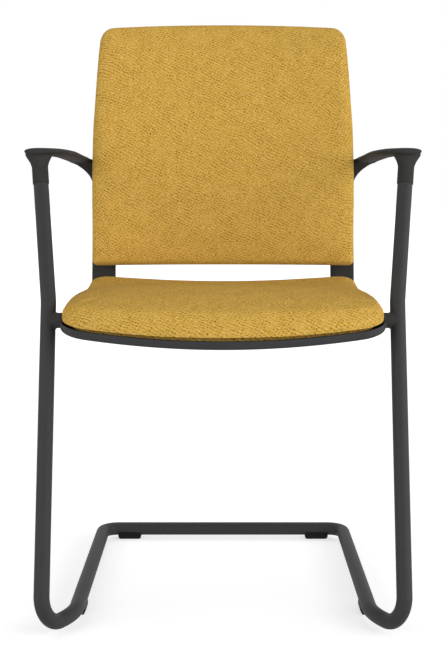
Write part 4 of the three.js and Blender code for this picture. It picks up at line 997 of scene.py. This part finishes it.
# %% [markdown]
# ## Outlines for pads and trays
# Seat, pan, back and shell share one kind of outline: a near edge and a far edge, each a little bowed,
# joined by straight sides through rounded corners. An outline can be drawn in by an inset, square to itself,
# or shrunk towards its middle, and a pad is a pile of such rings at different heights.

# %% Outlines and piled rings
def panel_outline(half, length, near_corner, far_corner, near_bow, far_bow):
    """Points round a panel, from the middle of its near edge, each edge bowed and each corner round."""
    edge, corner_steps, side_steps = 26, 12, 40

    def quarter(corner, bow):
        centre = half - corner
        end = math.atan(centre / (2 * bow)) if bow > 0 else TURN / 4
        reach = centre + corner * math.cos(end)
        base = bow + corner * math.sin(end)
        points = [(reach * i / edge, bow * (i / edge) ** 2) for i in range(edge)]
        for i in range(corner_steps + 1):
            angle = end * (1 - i / corner_steps)
            points.append((centre + corner * math.cos(angle), base - corner * math.sin(angle)))
        return points

    near = quarter(near_corner, near_bow)
    far = [(a, length - b) for a, b in quarter(far_corner, far_bow)]
    low, high = near[-1][1], far[-1][1]
    side = [(half, low + (high - low) * i / side_steps) for i in range(1, side_steps)]
    right = near + side + far[::-1]
    left = [(-a, b) for a, b in right[-2:0:-1]]
    return np.array(right + left)


def unit(vectors):
    return vectors / np.linalg.norm(vectors, axis=1)[:, None]


def outline_ring(outline, inset, shrink):
    """The outline drawn in by an inset, then shrunk towards its middle."""
    along = unit(unit(np.roll(outline, -1, axis=0) - outline) + unit(outline - np.roll(outline, 1, axis=0)))
    inwards = np.stack([-along[:, 1], along[:, 0]], axis=1)
    middle = np.array([0, outline[:, 1].mean()])
    return (outline + inwards * inset - middle) * shrink + middle


def finer(rows, steps=4):
    """A table of levels with smooth rows put between its own."""
    counted = [[i, *row] for i, row in enumerate(rows)]
    ways = np.linspace(0, len(rows) - 1, (len(rows) - 1) * steps + 1)
    return [between(counted, way)[1:] for way in ways]


def piled(name, outline, levels, place):
    """A closed body from levels of inset, shrink and whatever else the place needs."""
    rings = []
    for inset, shrink, *height in levels:
        ring = outline_ring(outline, inset, max(shrink, 0.004))
        rings.append([place(a, b, *height) for a, b in ring])
    return loft(name, rings)


def kept_in(value, low=0.0, high=1.0):
    return min(high, max(low, value))


print("Points round a panel:", len(panel_outline(100, 100, 10, 10, 0, 0)))

# %% [markdown]
# ## The seat cushion
# The seat is foam over a plywood board, with the cloth pulled round the edge and tacked underneath. Its
# border with the pan falls towards the front and lifts towards the sides, the top is crowned behind the
# front roll and swells up again at the rear. The table goes from the middle of the underside, round the
# edge, to the middle of the top.

# %% Seat cushion, as it is cut
SEAT_HALF = 226.3
SEAT_DEPTH = 455
SEAT_FRONT = 40.89
SEAT_REAR = SEAT_FRONT + SEAT_DEPTH
SEAT_SIDE_HEIGHT = 27.5
BORDER_HEIGHT = 424.5
SEAT_LIFT = 10.2
SEAT_FALL = 15.5
SEAT_FALL_LENGTH = 130
SEAT_CROWN = 18.8
SEAT_REAR_RISE = 8
FRONT_BOW = 20
CROWN_PLACE = SEAT_FRONT + SEAT_DEPTH * 0.32
CROWN_REACH = SEAT_DEPTH * 0.36
REAR_REACH = SEAT_DEPTH * 0.14
seat_outline = panel_outline(
    SEAT_HALF, SEAT_DEPTH, near_corner=34, far_corner=43, near_bow=4, far_bow=FRONT_BOW,
)
cushion_levels = [
    [0, 0, -0.2], [0.7, 0.5, -0.2], [0.7, 1, -0.2], [0.04, 1, -0.2], [0.02, 1, 0.05], [0, 1, 0.36],
    [0.05, 1, 0.62], [0.17, 1, 0.82], [0.38, 1, 0.95], [0.9, 1, 1], [0.6, 0.86, 1], [0.3, 0.68, 1],
    [0, 0.45, 1], [0, 0.2, 1], [0, 0, 1],
]


def seat_border(x, y, ease=1.0):
    """The border of cushion and pan: it falls to the front and lifts to the sides, less so at the rear."""
    way = kept_in((SEAT_FRONT + SEAT_FALL_LENGTH - y) / SEAT_FALL_LENGTH)
    back = kept_in(((y - SEAT_FRONT) / SEAT_DEPTH - 0.3) / 0.57)
    lift = SEAT_LIFT * (1 - 0.5 * back ** 2 * (3 - 2 * back)) * (x / SEAT_HALF) ** 2
    return BORDER_HEIGHT + lift - ease * SEAT_FALL * way ** 2


def swell_at(value, centre, width):
    return math.exp(-(((value - centre) / width) ** 2))


def seat_place(a, b, level):
    y = SEAT_REAR - b
    sideways = (a / SEAT_HALF) ** 2
    crown = SEAT_CROWN * swell_at(y, CROWN_PLACE, CROWN_REACH) * max(0.0, 1 - sideways)
    rear = SEAT_REAR_RISE * (1 + 0.7 * sideways) * swell_at(y, SEAT_REAR, REAR_REACH)
    swell = max(0.0, (level - 0.6) / 0.4)
    top = SEAT_SIDE_HEIGHT * level + (crown + rear) * swell
    return Vector((a, y, seat_border(a, y, 1 - level * 0.15) + top))


scaled = [[inset * SEAT_SIDE_HEIGHT, shrink, level] for inset, shrink, level in finer(cushion_levels)]
cushion_cut = piled("seat_cushion_cut", seat_outline, scaled, seat_place)
print("Seat cushion faces before it is filled:", len(cushion_cut.polygons))

# %% [markdown]
# A drawn surface is too perfect for a stuffed one, so the cover is filled by a short cloth simulation: air
# pressure from inside, no gravity, and the tacked edge held still. The mesh is first made even by a voxel
# remesh, because cloth wrinkles along the lines of long faces. The movement is capped, so that the pad keeps
# its drawn size, and the result is a plain mesh again.

# %% Filling a cover
CLOTH = {
    "use_pressure": True, "uniform_pressure_force": 4.0, "vertex_group_mass": "held",
    "tension_stiffness": 15, "compression_stiffness": 15, "bending_stiffness": 2, "quality": 5,
}
FILLING_FRAMES = 20


def corners_of(mesh):
    flat = np.empty(len(mesh.vertices) * 3)
    mesh.vertices.foreach_get("co", flat)
    return flat.reshape(-1, 3)


def swollen(name, cover, held, cap):
    """Moves a cover to where the cloth simulation puts it, by no more than a cap."""
    start = corners_of(cover)
    made = placed(name + "_cover", cover)
    pins = made.vertex_groups.new(name="held")
    for i, (x, y, z) in enumerate(start / MM):
        pins.add([i], held(x, y - foot_to_frame, z), "REPLACE")
    cloth = made.modifiers.new("filling", "CLOTH")
    told(cloth.settings, **CLOTH)
    cloth.settings.effector_weights.gravity = 0.0
    for frame_number in range(1, FILLING_FRAMES + 1):
        bpy.context.scene.frame_set(frame_number)
    filled_cover = made.evaluated_get(bpy.context.evaluated_depsgraph_get())
    moved = corners_of(filled_cover.to_mesh()) - start
    filled_cover.to_mesh_clear()
    length = np.linalg.norm(moved, axis=1)
    limit = cap * MM
    moved *= (limit * np.tanh(length / limit) / np.maximum(length, 1e-9))[:, None]
    made.modifiers.clear()
    cover.vertices.foreach_set("co", (start + moved).ravel())
    bpy.data.objects.remove(made)
    bpy.context.scene.frame_set(1)
    print(name, "moved at most", round(length.max() / MM, 1), "mm, kept", cap, "mm at most")


def filled(name, mesh, held, cap, voxel):
    """The mesh as a filled cover; held says how firmly a point in millimetres stays."""
    work = placed(name + "_filling", mesh)
    told(work.modifiers.new("even", "REMESH"), mode="VOXEL", voxel_size=voxel * MM)
    cover = settled(name + "_cover", work)
    swollen(name, cover, held, cap)
    smooth = placed(name + "_smooth", cover)
    told(smooth.modifiers.new("rounder", "SUBSURF"), levels=1, render_levels=1)
    return settled(name, smooth)


def seat_held(x, y, z):
    rise = (z - seat_border(x, y)) / SEAT_SIDE_HEIGHT
    return kept_in(1.25 - rise * 1.6)


seat_filled = filled("seat_pad", cushion_cut, seat_held, cap=1.8, voxel=4.0)
print("Seat pad faces:", len(seat_filled.polygons))

# %% [markdown]
# The pad then gets its pocket for the board and the notches where the cross tube and the two tongues pass
# under it, so that nothing runs through the foam that it doesn't hold. The cloth is turned under a few
# millimetres above the pan's rim, which leaves the dark groove that runs all round the seat. It is cut after
# the filling, because a remesh would round its edge off.

# %% The pad's pocket and notches
BOARD_BOTTOM = 439.8
BOARD_TOP = 448.8
BOARD_INSET = 18
BOARD_FRONT_INSET = 36
GROOVE_DEPTH = 14
GROOVE_TOP = 2.7
GROOVE_SIDE_LOSS = 0.45
GROOVE_BELOW = -12
GROOVE_OUTSIDE = -4
TONGUE_NOTCH_HALF = 17.6
TONGUE_NOTCH_BOTTOM = 417.5


def prism(name, outline, low, high):
    return loft(name, [[Vector((a, b, z)) for a, b in outline] for z in (low, high)])


def seat_board_outline(extra):
    inset, front = BOARD_INSET + extra, BOARD_FRONT_INSET + extra
    corners = {"near_corner": 34, "far_corner": 25, "near_bow": 0, "far_bow": FRONT_BOW}
    points = panel_outline(SEAT_HALF - inset, SEAT_DEPTH - inset - front, **corners)
    return np.stack([points[:, 0], SEAT_REAR - inset - points[:, 1]], axis=1)


def tongue_notch(side):
    near, far = [side * RAIL_SPACING / 2 + half for half in (-TONGUE_NOTCH_HALF, TONGUE_NOTCH_HALF)]
    ring = [(near, tongue_end), (far, tongue_end), (far, SEAT_REAR + 6), (near, SEAT_REAR + 6)]
    return prism("tongue_notch", ring, TONGUE_NOTCH_BOTTOM, BOARD_TOP)


def tube_notch(play):
    axis = Matrix.Translation((0, cross_tube_y, CROSS_TUBE_HEIGHT)) @ Matrix.Rotation(TURN / 4, 4, "Y")
    return rod("tube_notch", TUBE_RADIUS + play, -LEG_SPREAD / 2, LEG_SPREAD / 2, axis, 64)


outer, inner = [outline_ring(seat_outline, inset, 1) for inset in (GROOVE_OUTSIDE, GROOVE_DEPTH)]
groove_rings = []
for (a, b), (c, d) in zip(outer, inner):
    top = GROOVE_TOP * (1 - GROOVE_SIDE_LOSS * min(1.0, (c / SEAT_HALF) ** 2))
    section = [(a, b, GROOVE_BELOW), (c, d, GROOVE_BELOW), (c, d, top), (a, b, top)]
    placed_section = [(x, SEAT_REAR - y, z) for x, y, z in section]
    groove_rings.append([Vector((x, y, seat_border(x, y) + z)) for x, y, z in placed_section])
cutters = [
    loft("groove", groove_rings, looped=True),
    prism("board_pocket", seat_board_outline(-0.3), BORDER_HEIGHT - 24, BOARD_TOP + 0.3),
    tube_notch(1.2), tongue_notch(LEFT), tongue_notch(RIGHT),
]
seat_pad = carved("seat_pad", seat_filled, *cutters)
seat_piece = piece("seat_pad", seat_pad, seat_cloth, "upholstery", "seat_cushion", sharp=60)
print("Seat pad faces after cutting:", len(seat_pad.polygons))

# %% [markdown]
# ## The seat pan
# Under the cushion sits a thin moulded tray. Its rim follows the border, a hair below the cloth, and leaves
# a dark groove. The floor is flat where it clears the tube and the bolt heads, and four bosses reach up to
# the board. It is piled from rings like the cushion, once round the outside and back over the inside.

# %% Seat pan
PAN_GROOVE = 1.4
PAN_RIM_HEIGHT = 13.8
PAN_WALL = 3
PAN_BOTTOM = 406.7
PAN_SCREW_INSET = 111.3
PAN_SCREW_ROWS = {"front": SEAT_FRONT + 150, "rear": SEAT_REAR - 75}
PAN_BOSS_RADIUS = 6.5
PAN_BOSS_BORE = 2.3
PAN_HEAD_HOLE = 4.3
pan_levels = [
    [0, 0, 0, 0, 0], [0, 0.45, 0, 0, 0], [0, 0.8, 0, 0, 0], [1.6, 1, 0.3, 0, 0], [0.75, 1, 0.8, 0, 0],
    [0.12, 1, 1, 0.1, 0], [-0.16, 1, 1, 0.35, 0], [-0.25, 1, 1, 1, 0], [-0.03, 1, 1, 1, 0],
    [0.12, 1, 1, 0.45, 0], [0.45, 1, 1, 0.12, 0.7], [0.85, 1, 0.8, 0, 1], [1.7, 1, 0.3, 0, 1],
    [0, 0.79, 0, 0, 1], [0, 0.45, 0, 0, 1], [0, 0, 0, 0, 1],
]


def pan_place(a, b, low, rim, wall):
    y = SEAT_REAR - b
    rim_top = seat_border(a, y) - PAN_GROOVE
    floor = PAN_BOTTOM + (rim_top - PAN_RIM_HEIGHT - PAN_BOTTOM) * low
    return Vector((a, y, floor + (rim_top - floor) * rim + wall * PAN_WALL))


pan_rings = [[row[0] * PAN_RIM_HEIGHT, *row[1:]] for row in finer(pan_levels)]
pan_screws = {
    row + "_" + hand: Matrix.Translation((side * (SEAT_HALF - PAN_SCREW_INSET), y, PAN_BOTTOM))
    for row, y in PAN_SCREW_ROWS.items() for hand, side in SIDES.items()
}
low, high = PAN_WALL - 0.1, BOARD_BOTTOM - 0.3 - PAN_BOTTOM
boss_profile = [
    (PAN_BOSS_BORE, low), (PAN_BOSS_RADIUS, low), (PAN_BOSS_RADIUS, high), (PAN_BOSS_BORE, high),
    (PAN_BOSS_BORE, low),
]
pan_bosses = [turned("boss", boss_profile, matrix) for matrix in pan_screws.values()]
head_holes = [rod("screw_head_hole", PAN_HEAD_HOLE, -4, 2.8, matrix) for matrix in pan_screws.values()]
pan_tray = piled("pan_tray", seat_outline, pan_rings, pan_place)
pan_tray = carved("pan_tray", pan_tray, tube_notch(0.8), *head_holes)
pan = joined("seat_pan_moulding", pan_tray, *pan_bosses)
piece("seat_pan_moulding", pan, moulded_plastic, "moulded_plastic", "seat_pan", sharp=40)
print("Pan faces:", len(pan.polygons))

# %% [markdown]
# ## The back pad
# The back is a thin pad over a curved board. It is a little wider at its middle than at the top, its upper
# corners are round, and the face rises gently all over. Its table goes from the middle of the rear, round
# the edge, to the middle of the face.

# %% Back pad, as it is cut
BACK_CROWN = 5
BACK_CORNER = 24
back_widths = [[0, 0.993], [0.35, 1], [0.5, 0.998], [0.69, 0.981], [0.86, 0.96], [1, 0.938]]
back_levels = [
    [0, 0, 1, 0], [0, 0.5, 1, 0], [0, 0.94, 1, 0], [0.2, 1, 0.99, 0], [0.05, 1, 0.86, 0], [0, 1, 0.66, 0],
    [0.06, 1, 0.42, 0], [0.17, 1, 0.2, 0.3], [0.2, 0.978, 0.06, 0.75], [0.2, 0.94, 0, 0.9],
    [0, 0.82, 0, 0.5], [0, 0.6, 0, 0.2], [0, 0.3, 0, 0.03], [0, 0, 0, 0],
]


def back_outline(inset):
    corner = BACK_CORNER * (1 - inset / BACK_HEIGHT)
    corners = {"near_corner": 8, "far_corner": corner, "near_bow": 0, "far_bow": 7}
    return panel_outline(BACK_WIDTH / 2 - inset, BACK_HEIGHT - 2 * inset, **corners) + np.array([0, inset])


def back_place(a, b, depth):
    """A point on the curve, narrower with height; its edges drop where the curve would lift them."""
    x = a * between(back_widths, kept_in(b / BACK_HEIGHT))[1]
    sag = BACK_CURVE_RADIUS - math.sqrt(BACK_CURVE_RADIUS ** 2 - x ** 2)
    rear = math.sqrt((BACK_CURVE_RADIUS + depth) ** 2 - x ** 2) - BACK_CURVE_RADIUS
    return back_matrix @ Vector((x, rear, b - sag * math.tan(BACK_TILT)))


def back_held(x, y, z):
    place = back_matrix.inverted() @ Vector((x, y, z))
    depth = math.hypot(place.x, place.y + BACK_CURVE_RADIUS) - BACK_CURVE_RADIUS
    return kept_in((depth - 4) / 12)


back_rings = [
    [inset * BACK_FOAM, shrink, depth * (BACK_FOAM + BACK_BOARD - 0.3) + crown * BACK_CROWN]
    for inset, shrink, depth, crown in finer(back_levels)
]
back_cut = piled("back_pad_cut", back_outline(0), back_rings, back_place)
back_filled = filled("back_pad", back_cut, back_held, cap=2.5, voxel=5.0)
leaned_foot = Matrix.Rotation(BACK_TILT, 4, "X") @ Vector((0, BACK_FRONT + foot_to_frame, BACK_BOTTOM))
back_middle = leaned_foot.z + BACK_HEIGHT / 2
back_bow = -0.5 / BACK_CURVE_RADIUS
back_cloth = woven_cloth("mustard_cloth_back", BACK_TILT, back_bow, False, leaned_foot.y, back_middle)
print("Back pad faces:", len(back_filled.polygons))

# %% [markdown]
# The board's pocket follows the same curve, so it is cut by a curved sheet of the board's outline. The same
# kind of sheet, thinner and with a rounded edge, is the shell that closes the back from behind.

# %% Curved sheets
SHEET_SHARES = (0, 0.25, 0.5, 0.75, 0.93)
POCKET_INSET = 11.7
SHELL_INSET = 14
SHELL_EDGE = 1.6


def curved_sheet(name, inset, front, rear, edge_round=0.0):
    """A sheet between two depths, cut to the back's outline and rounded at its rear edge."""
    levels = [[0, share, front] for share in (*SHEET_SHARES, 1)]
    for k in range(5):
        angle = TURN / 4 * k / 4
        levels.append([edge_round * (1 - math.cos(angle)), 1, rear - edge_round * (1 - math.sin(angle))])
    levels += [[edge_round, share, rear] for share in SHEET_SHARES[::-1]]
    return piled(name, back_outline(inset), levels, back_place)


back_pocket = curved_sheet("back_pocket", POCKET_INSET, BACK_FOAM - 0.3, BACK_FOAM + BACK_BOARD + 8)
back_pad = carved("back_pad", back_filled, back_pocket)
back_piece = piece("back_pad", back_pad, back_cloth, "upholstery", "back_cushion", sharp=60)

front, rear = SHELL_FACE - BACK_CURVE_RADIUS, SHELL_REAR - BACK_CURVE_RADIUS
shell_sheet = curved_sheet("rear_shell", SHELL_INSET, front, rear, SHELL_EDGE)
shell_holes = [
    rod("boss_hole", BOSS_RADIUS + HOLE_PLAY, -4, 8, on_back(side, SHELL_FACE, height, False), 48)
    for side in (LEFT, RIGHT) for height in BACK_BOLT_HEIGHTS.values()
]
rear_shell = carved("rear_shell", shell_sheet, *shell_holes)
piece("rear_shell", rear_shell, moulded_plastic, "moulded_plastic", "back_shell", sharp=40)
print("Back pad and shell faces:", len(back_pad.polygons), len(rear_shell.polygons))

# %% [markdown]
# ## Bolts and screws in sight
# Four button-head bolts sit in counterbores behind the uprights, four screws hold the pan, and a grub screw
# locks each arm. Each is turned from its profile, and the hexagon for the key is pressed in: six points on
# the inner rings instead of many, which is cheaper and cleaner than a boolean cut.

# %% Screws with hexagon sockets
def hexagon(angle):
    """How far out a hexagon's edge lies at an angle, as a share of its corners' distance."""
    sixth = TURN / 6
    return math.cos(sixth / 2) / math.cos((angle % sixth) - sixth / 2)


def socket_screw(name, profile, socket, depth, matrix, sides=48):
    """A screw turned from its profile, which starts at the socket's rim; the socket goes down +Z."""
    top = profile[0][1]
    wall = ((0.02, top + depth), (socket, top + depth), (socket, top + 0.15), (socket + 0.15, top))
    rings = [ring_about(matrix, radius, height, sides, hexagon) for radius, height in wall]
    return loft(name, rings + [ring_about(matrix, radius, height, sides) for radius, height in profile])


def button_profile(head, height, shank, length):
    quarter = [TURN / 4 * k / 8 for k in range(9)]
    dome = [(head * (0.62 + 0.38 * math.sin(a)), height * (0.75 * (1 - math.cos(a)) - 1)) for a in quarter]
    bolt = [(head, -0.3), (head - 0.3, 0), (shank, 0), (shank, length - 0.6), (shank - 0.6, length)]
    return dome + bolt + [(0.02, length)]


def fixing(name, node, profile, matrix, socket, depth):
    screw = socket_screw(name, profile, socket, depth, matrix)
    piece(name, screw, black_steel, "black_steel", node)


bolt_length = bolt_seat - (BACK_CURVE_RADIUS + BACK_FOAM) - 0.75
back_bolt = button_profile(head=5.5, height=3.5, shank=3, length=bolt_length)
locking_screw = [(1.9, 0.0), (2.2, 0.0), (2.5, 0.3), (2.5, 5.8), (1.3, 7), (0.02, 7)]
PAN_HEAD = 2.5
pan_screw = button_profile(head=4, height=PAN_HEAD, shank=2, length=BOARD_BOTTOM + 5 - PAN_BOTTOM - PAN_HEAD)
for hand, side in SIDES.items():
    for row, height in BACK_BOLT_HEIGHTS.items():
        seat = on_back(side, bolt_seat, height, True)
        fixing(f"upright_bolt_{hand}_{row}", f"back_bolt_{hand}_{row}", back_bolt, seat, socket=2, depth=2)
    seat = grub_screw_matrix(side)
    fixing(f"locking_screw_{hand}", f"arm_grub_screw_{hand}", locking_screw, seat, socket=1.2, depth=1.8)
for place, matrix in pan_screws.items():
    seat = matrix @ Matrix.Translation((0, 0, PAN_HEAD))
    fixing("pan_fixing_" + place, "pan_screw_" + place, pan_screw, seat, socket=1.2, depth=1.2)
print("Bolts are", round(bolt_length, 1), "mm long")

# %% [markdown]
# ## The frame's own solids
# Boards, rails, spacers, inner bolts and tee nuts have the right shape already, so the CAD nodes stay and
# only get their finish. The start of each name says what it is, and so which finish it gets.

# %% Finishes on the CAD nodes
node_finishes = {
    "seat_board": plywood, "back_board": plywood, "seat_nut": zinc_plate, "back_nut": zinc_plate,
    "seat_spacer": zinc_plate, "seat_rail": black_steel, "seat_bolt": black_steel,
}
dressed = []
for name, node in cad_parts.items():
    material = next((m for start, m in node_finishes.items() if name.startswith(start)), None)
    if material and not node.hide_render:
        for slot_entry in node.material_slots:
            slot_entry.material = material
        dressed.append(name)
print("Dressed CAD nodes:", len(dressed))

# %% [markdown]
# ## The studio
# The photograph has a plain white ground. The floor is pale and keeps the shadow, and it is lifted to white
# only for the eye of the camera and for reflections, never by more light on the chair. It is lifted more
# with distance, because the shadow is near the chair and the far floor has to be as white as the sky. An
# even sky and four wide lamps light the chair at a plain level, so colours come out about as they are
# written.

# %% Floor and sky
SKY_LEVEL = 0.33
FLOOR_REACH = 30.0
FLOOR_LIFT = 0.58
SHADOW_REACH = 900
WHITE_FROM = 5000


def white_for_the_eye(graph):
    """A mask for the rays by which the camera sees a thing: straight, in a mirror or through glass."""
    rays = graph.node("ShaderNodeLightPath", {}, {}).socket.node.outputs
    kinds = ("Camera", "Glossy", "Transmission")
    camera, glossy, through = [Flow(graph, rays[f"Is {kind} Ray"]) for kind in kinds]
    return camera.math("MAXIMUM", camera.math("MAXIMUM", camera, glossy), through)


def floor_finish():
    finish = Finish("studio_floor", Roughness=0.9, Specular_IOR_Level=0.0, Emission_Strength=1.0)
    finish.set(Base_Color=(0.82, 0.82, 0.82, 1))
    x, y, z = finish.split(finish.place())
    distance = x.math("SQRT", x * x + y * y)
    lift = FLOOR_LIFT + finish.step(distance, SHADOW_REACH, WHITE_FROM) * (1 - FLOOR_LIFT)
    seen = white_for_the_eye(finish) * lift
    finish.set(Emission_Color=finish.join(seen, seen, seen))
    return finish.material


floor_mesh = bpy.data.meshes.new("floor")
corners = [(x * FLOOR_REACH, y * FLOOR_REACH, 0) for x, y in ((-1, -1), (1, -1), (1, 1), (-1, 1))]
floor_mesh.from_pydata(corners, [], [(0, 1, 2, 3)])
floor_mesh.materials.append(floor_finish())
floor = placed("floor", floor_mesh)
floor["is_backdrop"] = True

world = bpy.data.worlds.new("studio_sky")
world.use_nodes = True
bpy.context.scene.world = world
sky = Graph(world.node_tree)
background = sky.nodes["Background"].inputs
sky.feed(background["Color"], (1, 1, 1, 1))
sky.feed(background["Strength"], white_for_the_eye(sky) * (1 - SKY_LEVEL) + SKY_LEVEL)
print("Sky level", SKY_LEVEL)

# %% [markdown]
# The lamps are large and far enough away to leave no hard edge. Two stand in front, left and right, because
# the surfaces that face the camera are the brightest in the photograph and no highlight runs down the tubes.
# One stands at the right, where each tube has its lighter edge. A weak one behind lights the seat but not
# its rear.

# %% Lamps
LAMP_TARGET = Vector((0, 0, 0.5))


def lamp(name, place, size, power):
    made = placed(name, told(bpy.data.lights.new(name, "AREA"), shape="DISK", size=size, energy=power))
    made.location = place
    made.rotation_euler = (LAMP_TARGET - Vector(place)).to_track_quat("-Z", "Y").to_euler()


lamp("front_lamp_left", (-3.2, -3.2, 1.4), 3.0, 74)
lamp("front_lamp_right", (3.2, -3.2, 1.4), 3.0, 78)
lamp("side_lamp", (4.5, -0.8, 1.4), 3.0, 64)
lamp("rear_lamp", (0.0, 1.8, 3.2), 2.4, 14)
print("Lamps:", [light.name for light in bpy.data.lights])

# %% [markdown]
# ## The camera
# The photograph was matched by fitting the camera to points on the chair: straight in front, a little above
# seat height, looking down by six degrees. The lens is given for a 36 mm sensor along the picture's taller
# side.

# %% Camera
CAMERA_DISTANCE = 1815.28
CAMERA_HEIGHT = 623.21
CAMERA_PITCH = 0.105
FOCAL_PIXELS = 1370.87
PICTURE_HEIGHT = 654
SENSOR = 36
camera_data = told(
    bpy.data.cameras.new("camera"), sensor_fit="VERTICAL", sensor_height=SENSOR, sensor_width=SENSOR,
    lens=FOCAL_PIXELS * SENSOR / PICTURE_HEIGHT,
)
camera = placed("camera", camera_data)
camera.location = (0, (foot_to_frame - CAMERA_DISTANCE) * MM, CAMERA_HEIGHT * MM)
camera.rotation_euler = (TURN / 4 - CAMERA_PITCH, 0, 0)
bpy.context.scene.camera = camera
bpy.context.scene.view_settings.view_transform = "Standard"
print("Lens", round(camera_data.lens, 2), "mm, camera at", [round(v, 3) for v in camera.location])

# %% [markdown]
# ## Sizes
# Last, the box of the finished chair is set beside the box of the CAD frame. They have to agree, because the
# visible chair stands for the measured one.

# %% Write the sizes and finish
looks_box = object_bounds()
for axis, label in enumerate("xyz"):
    difference = [(looks_box[i][axis] - cad_box[i][axis]) / MM for i in (0, 1)]
    print(label, "differs by", [round(v, 2) for v in difference], "mm")
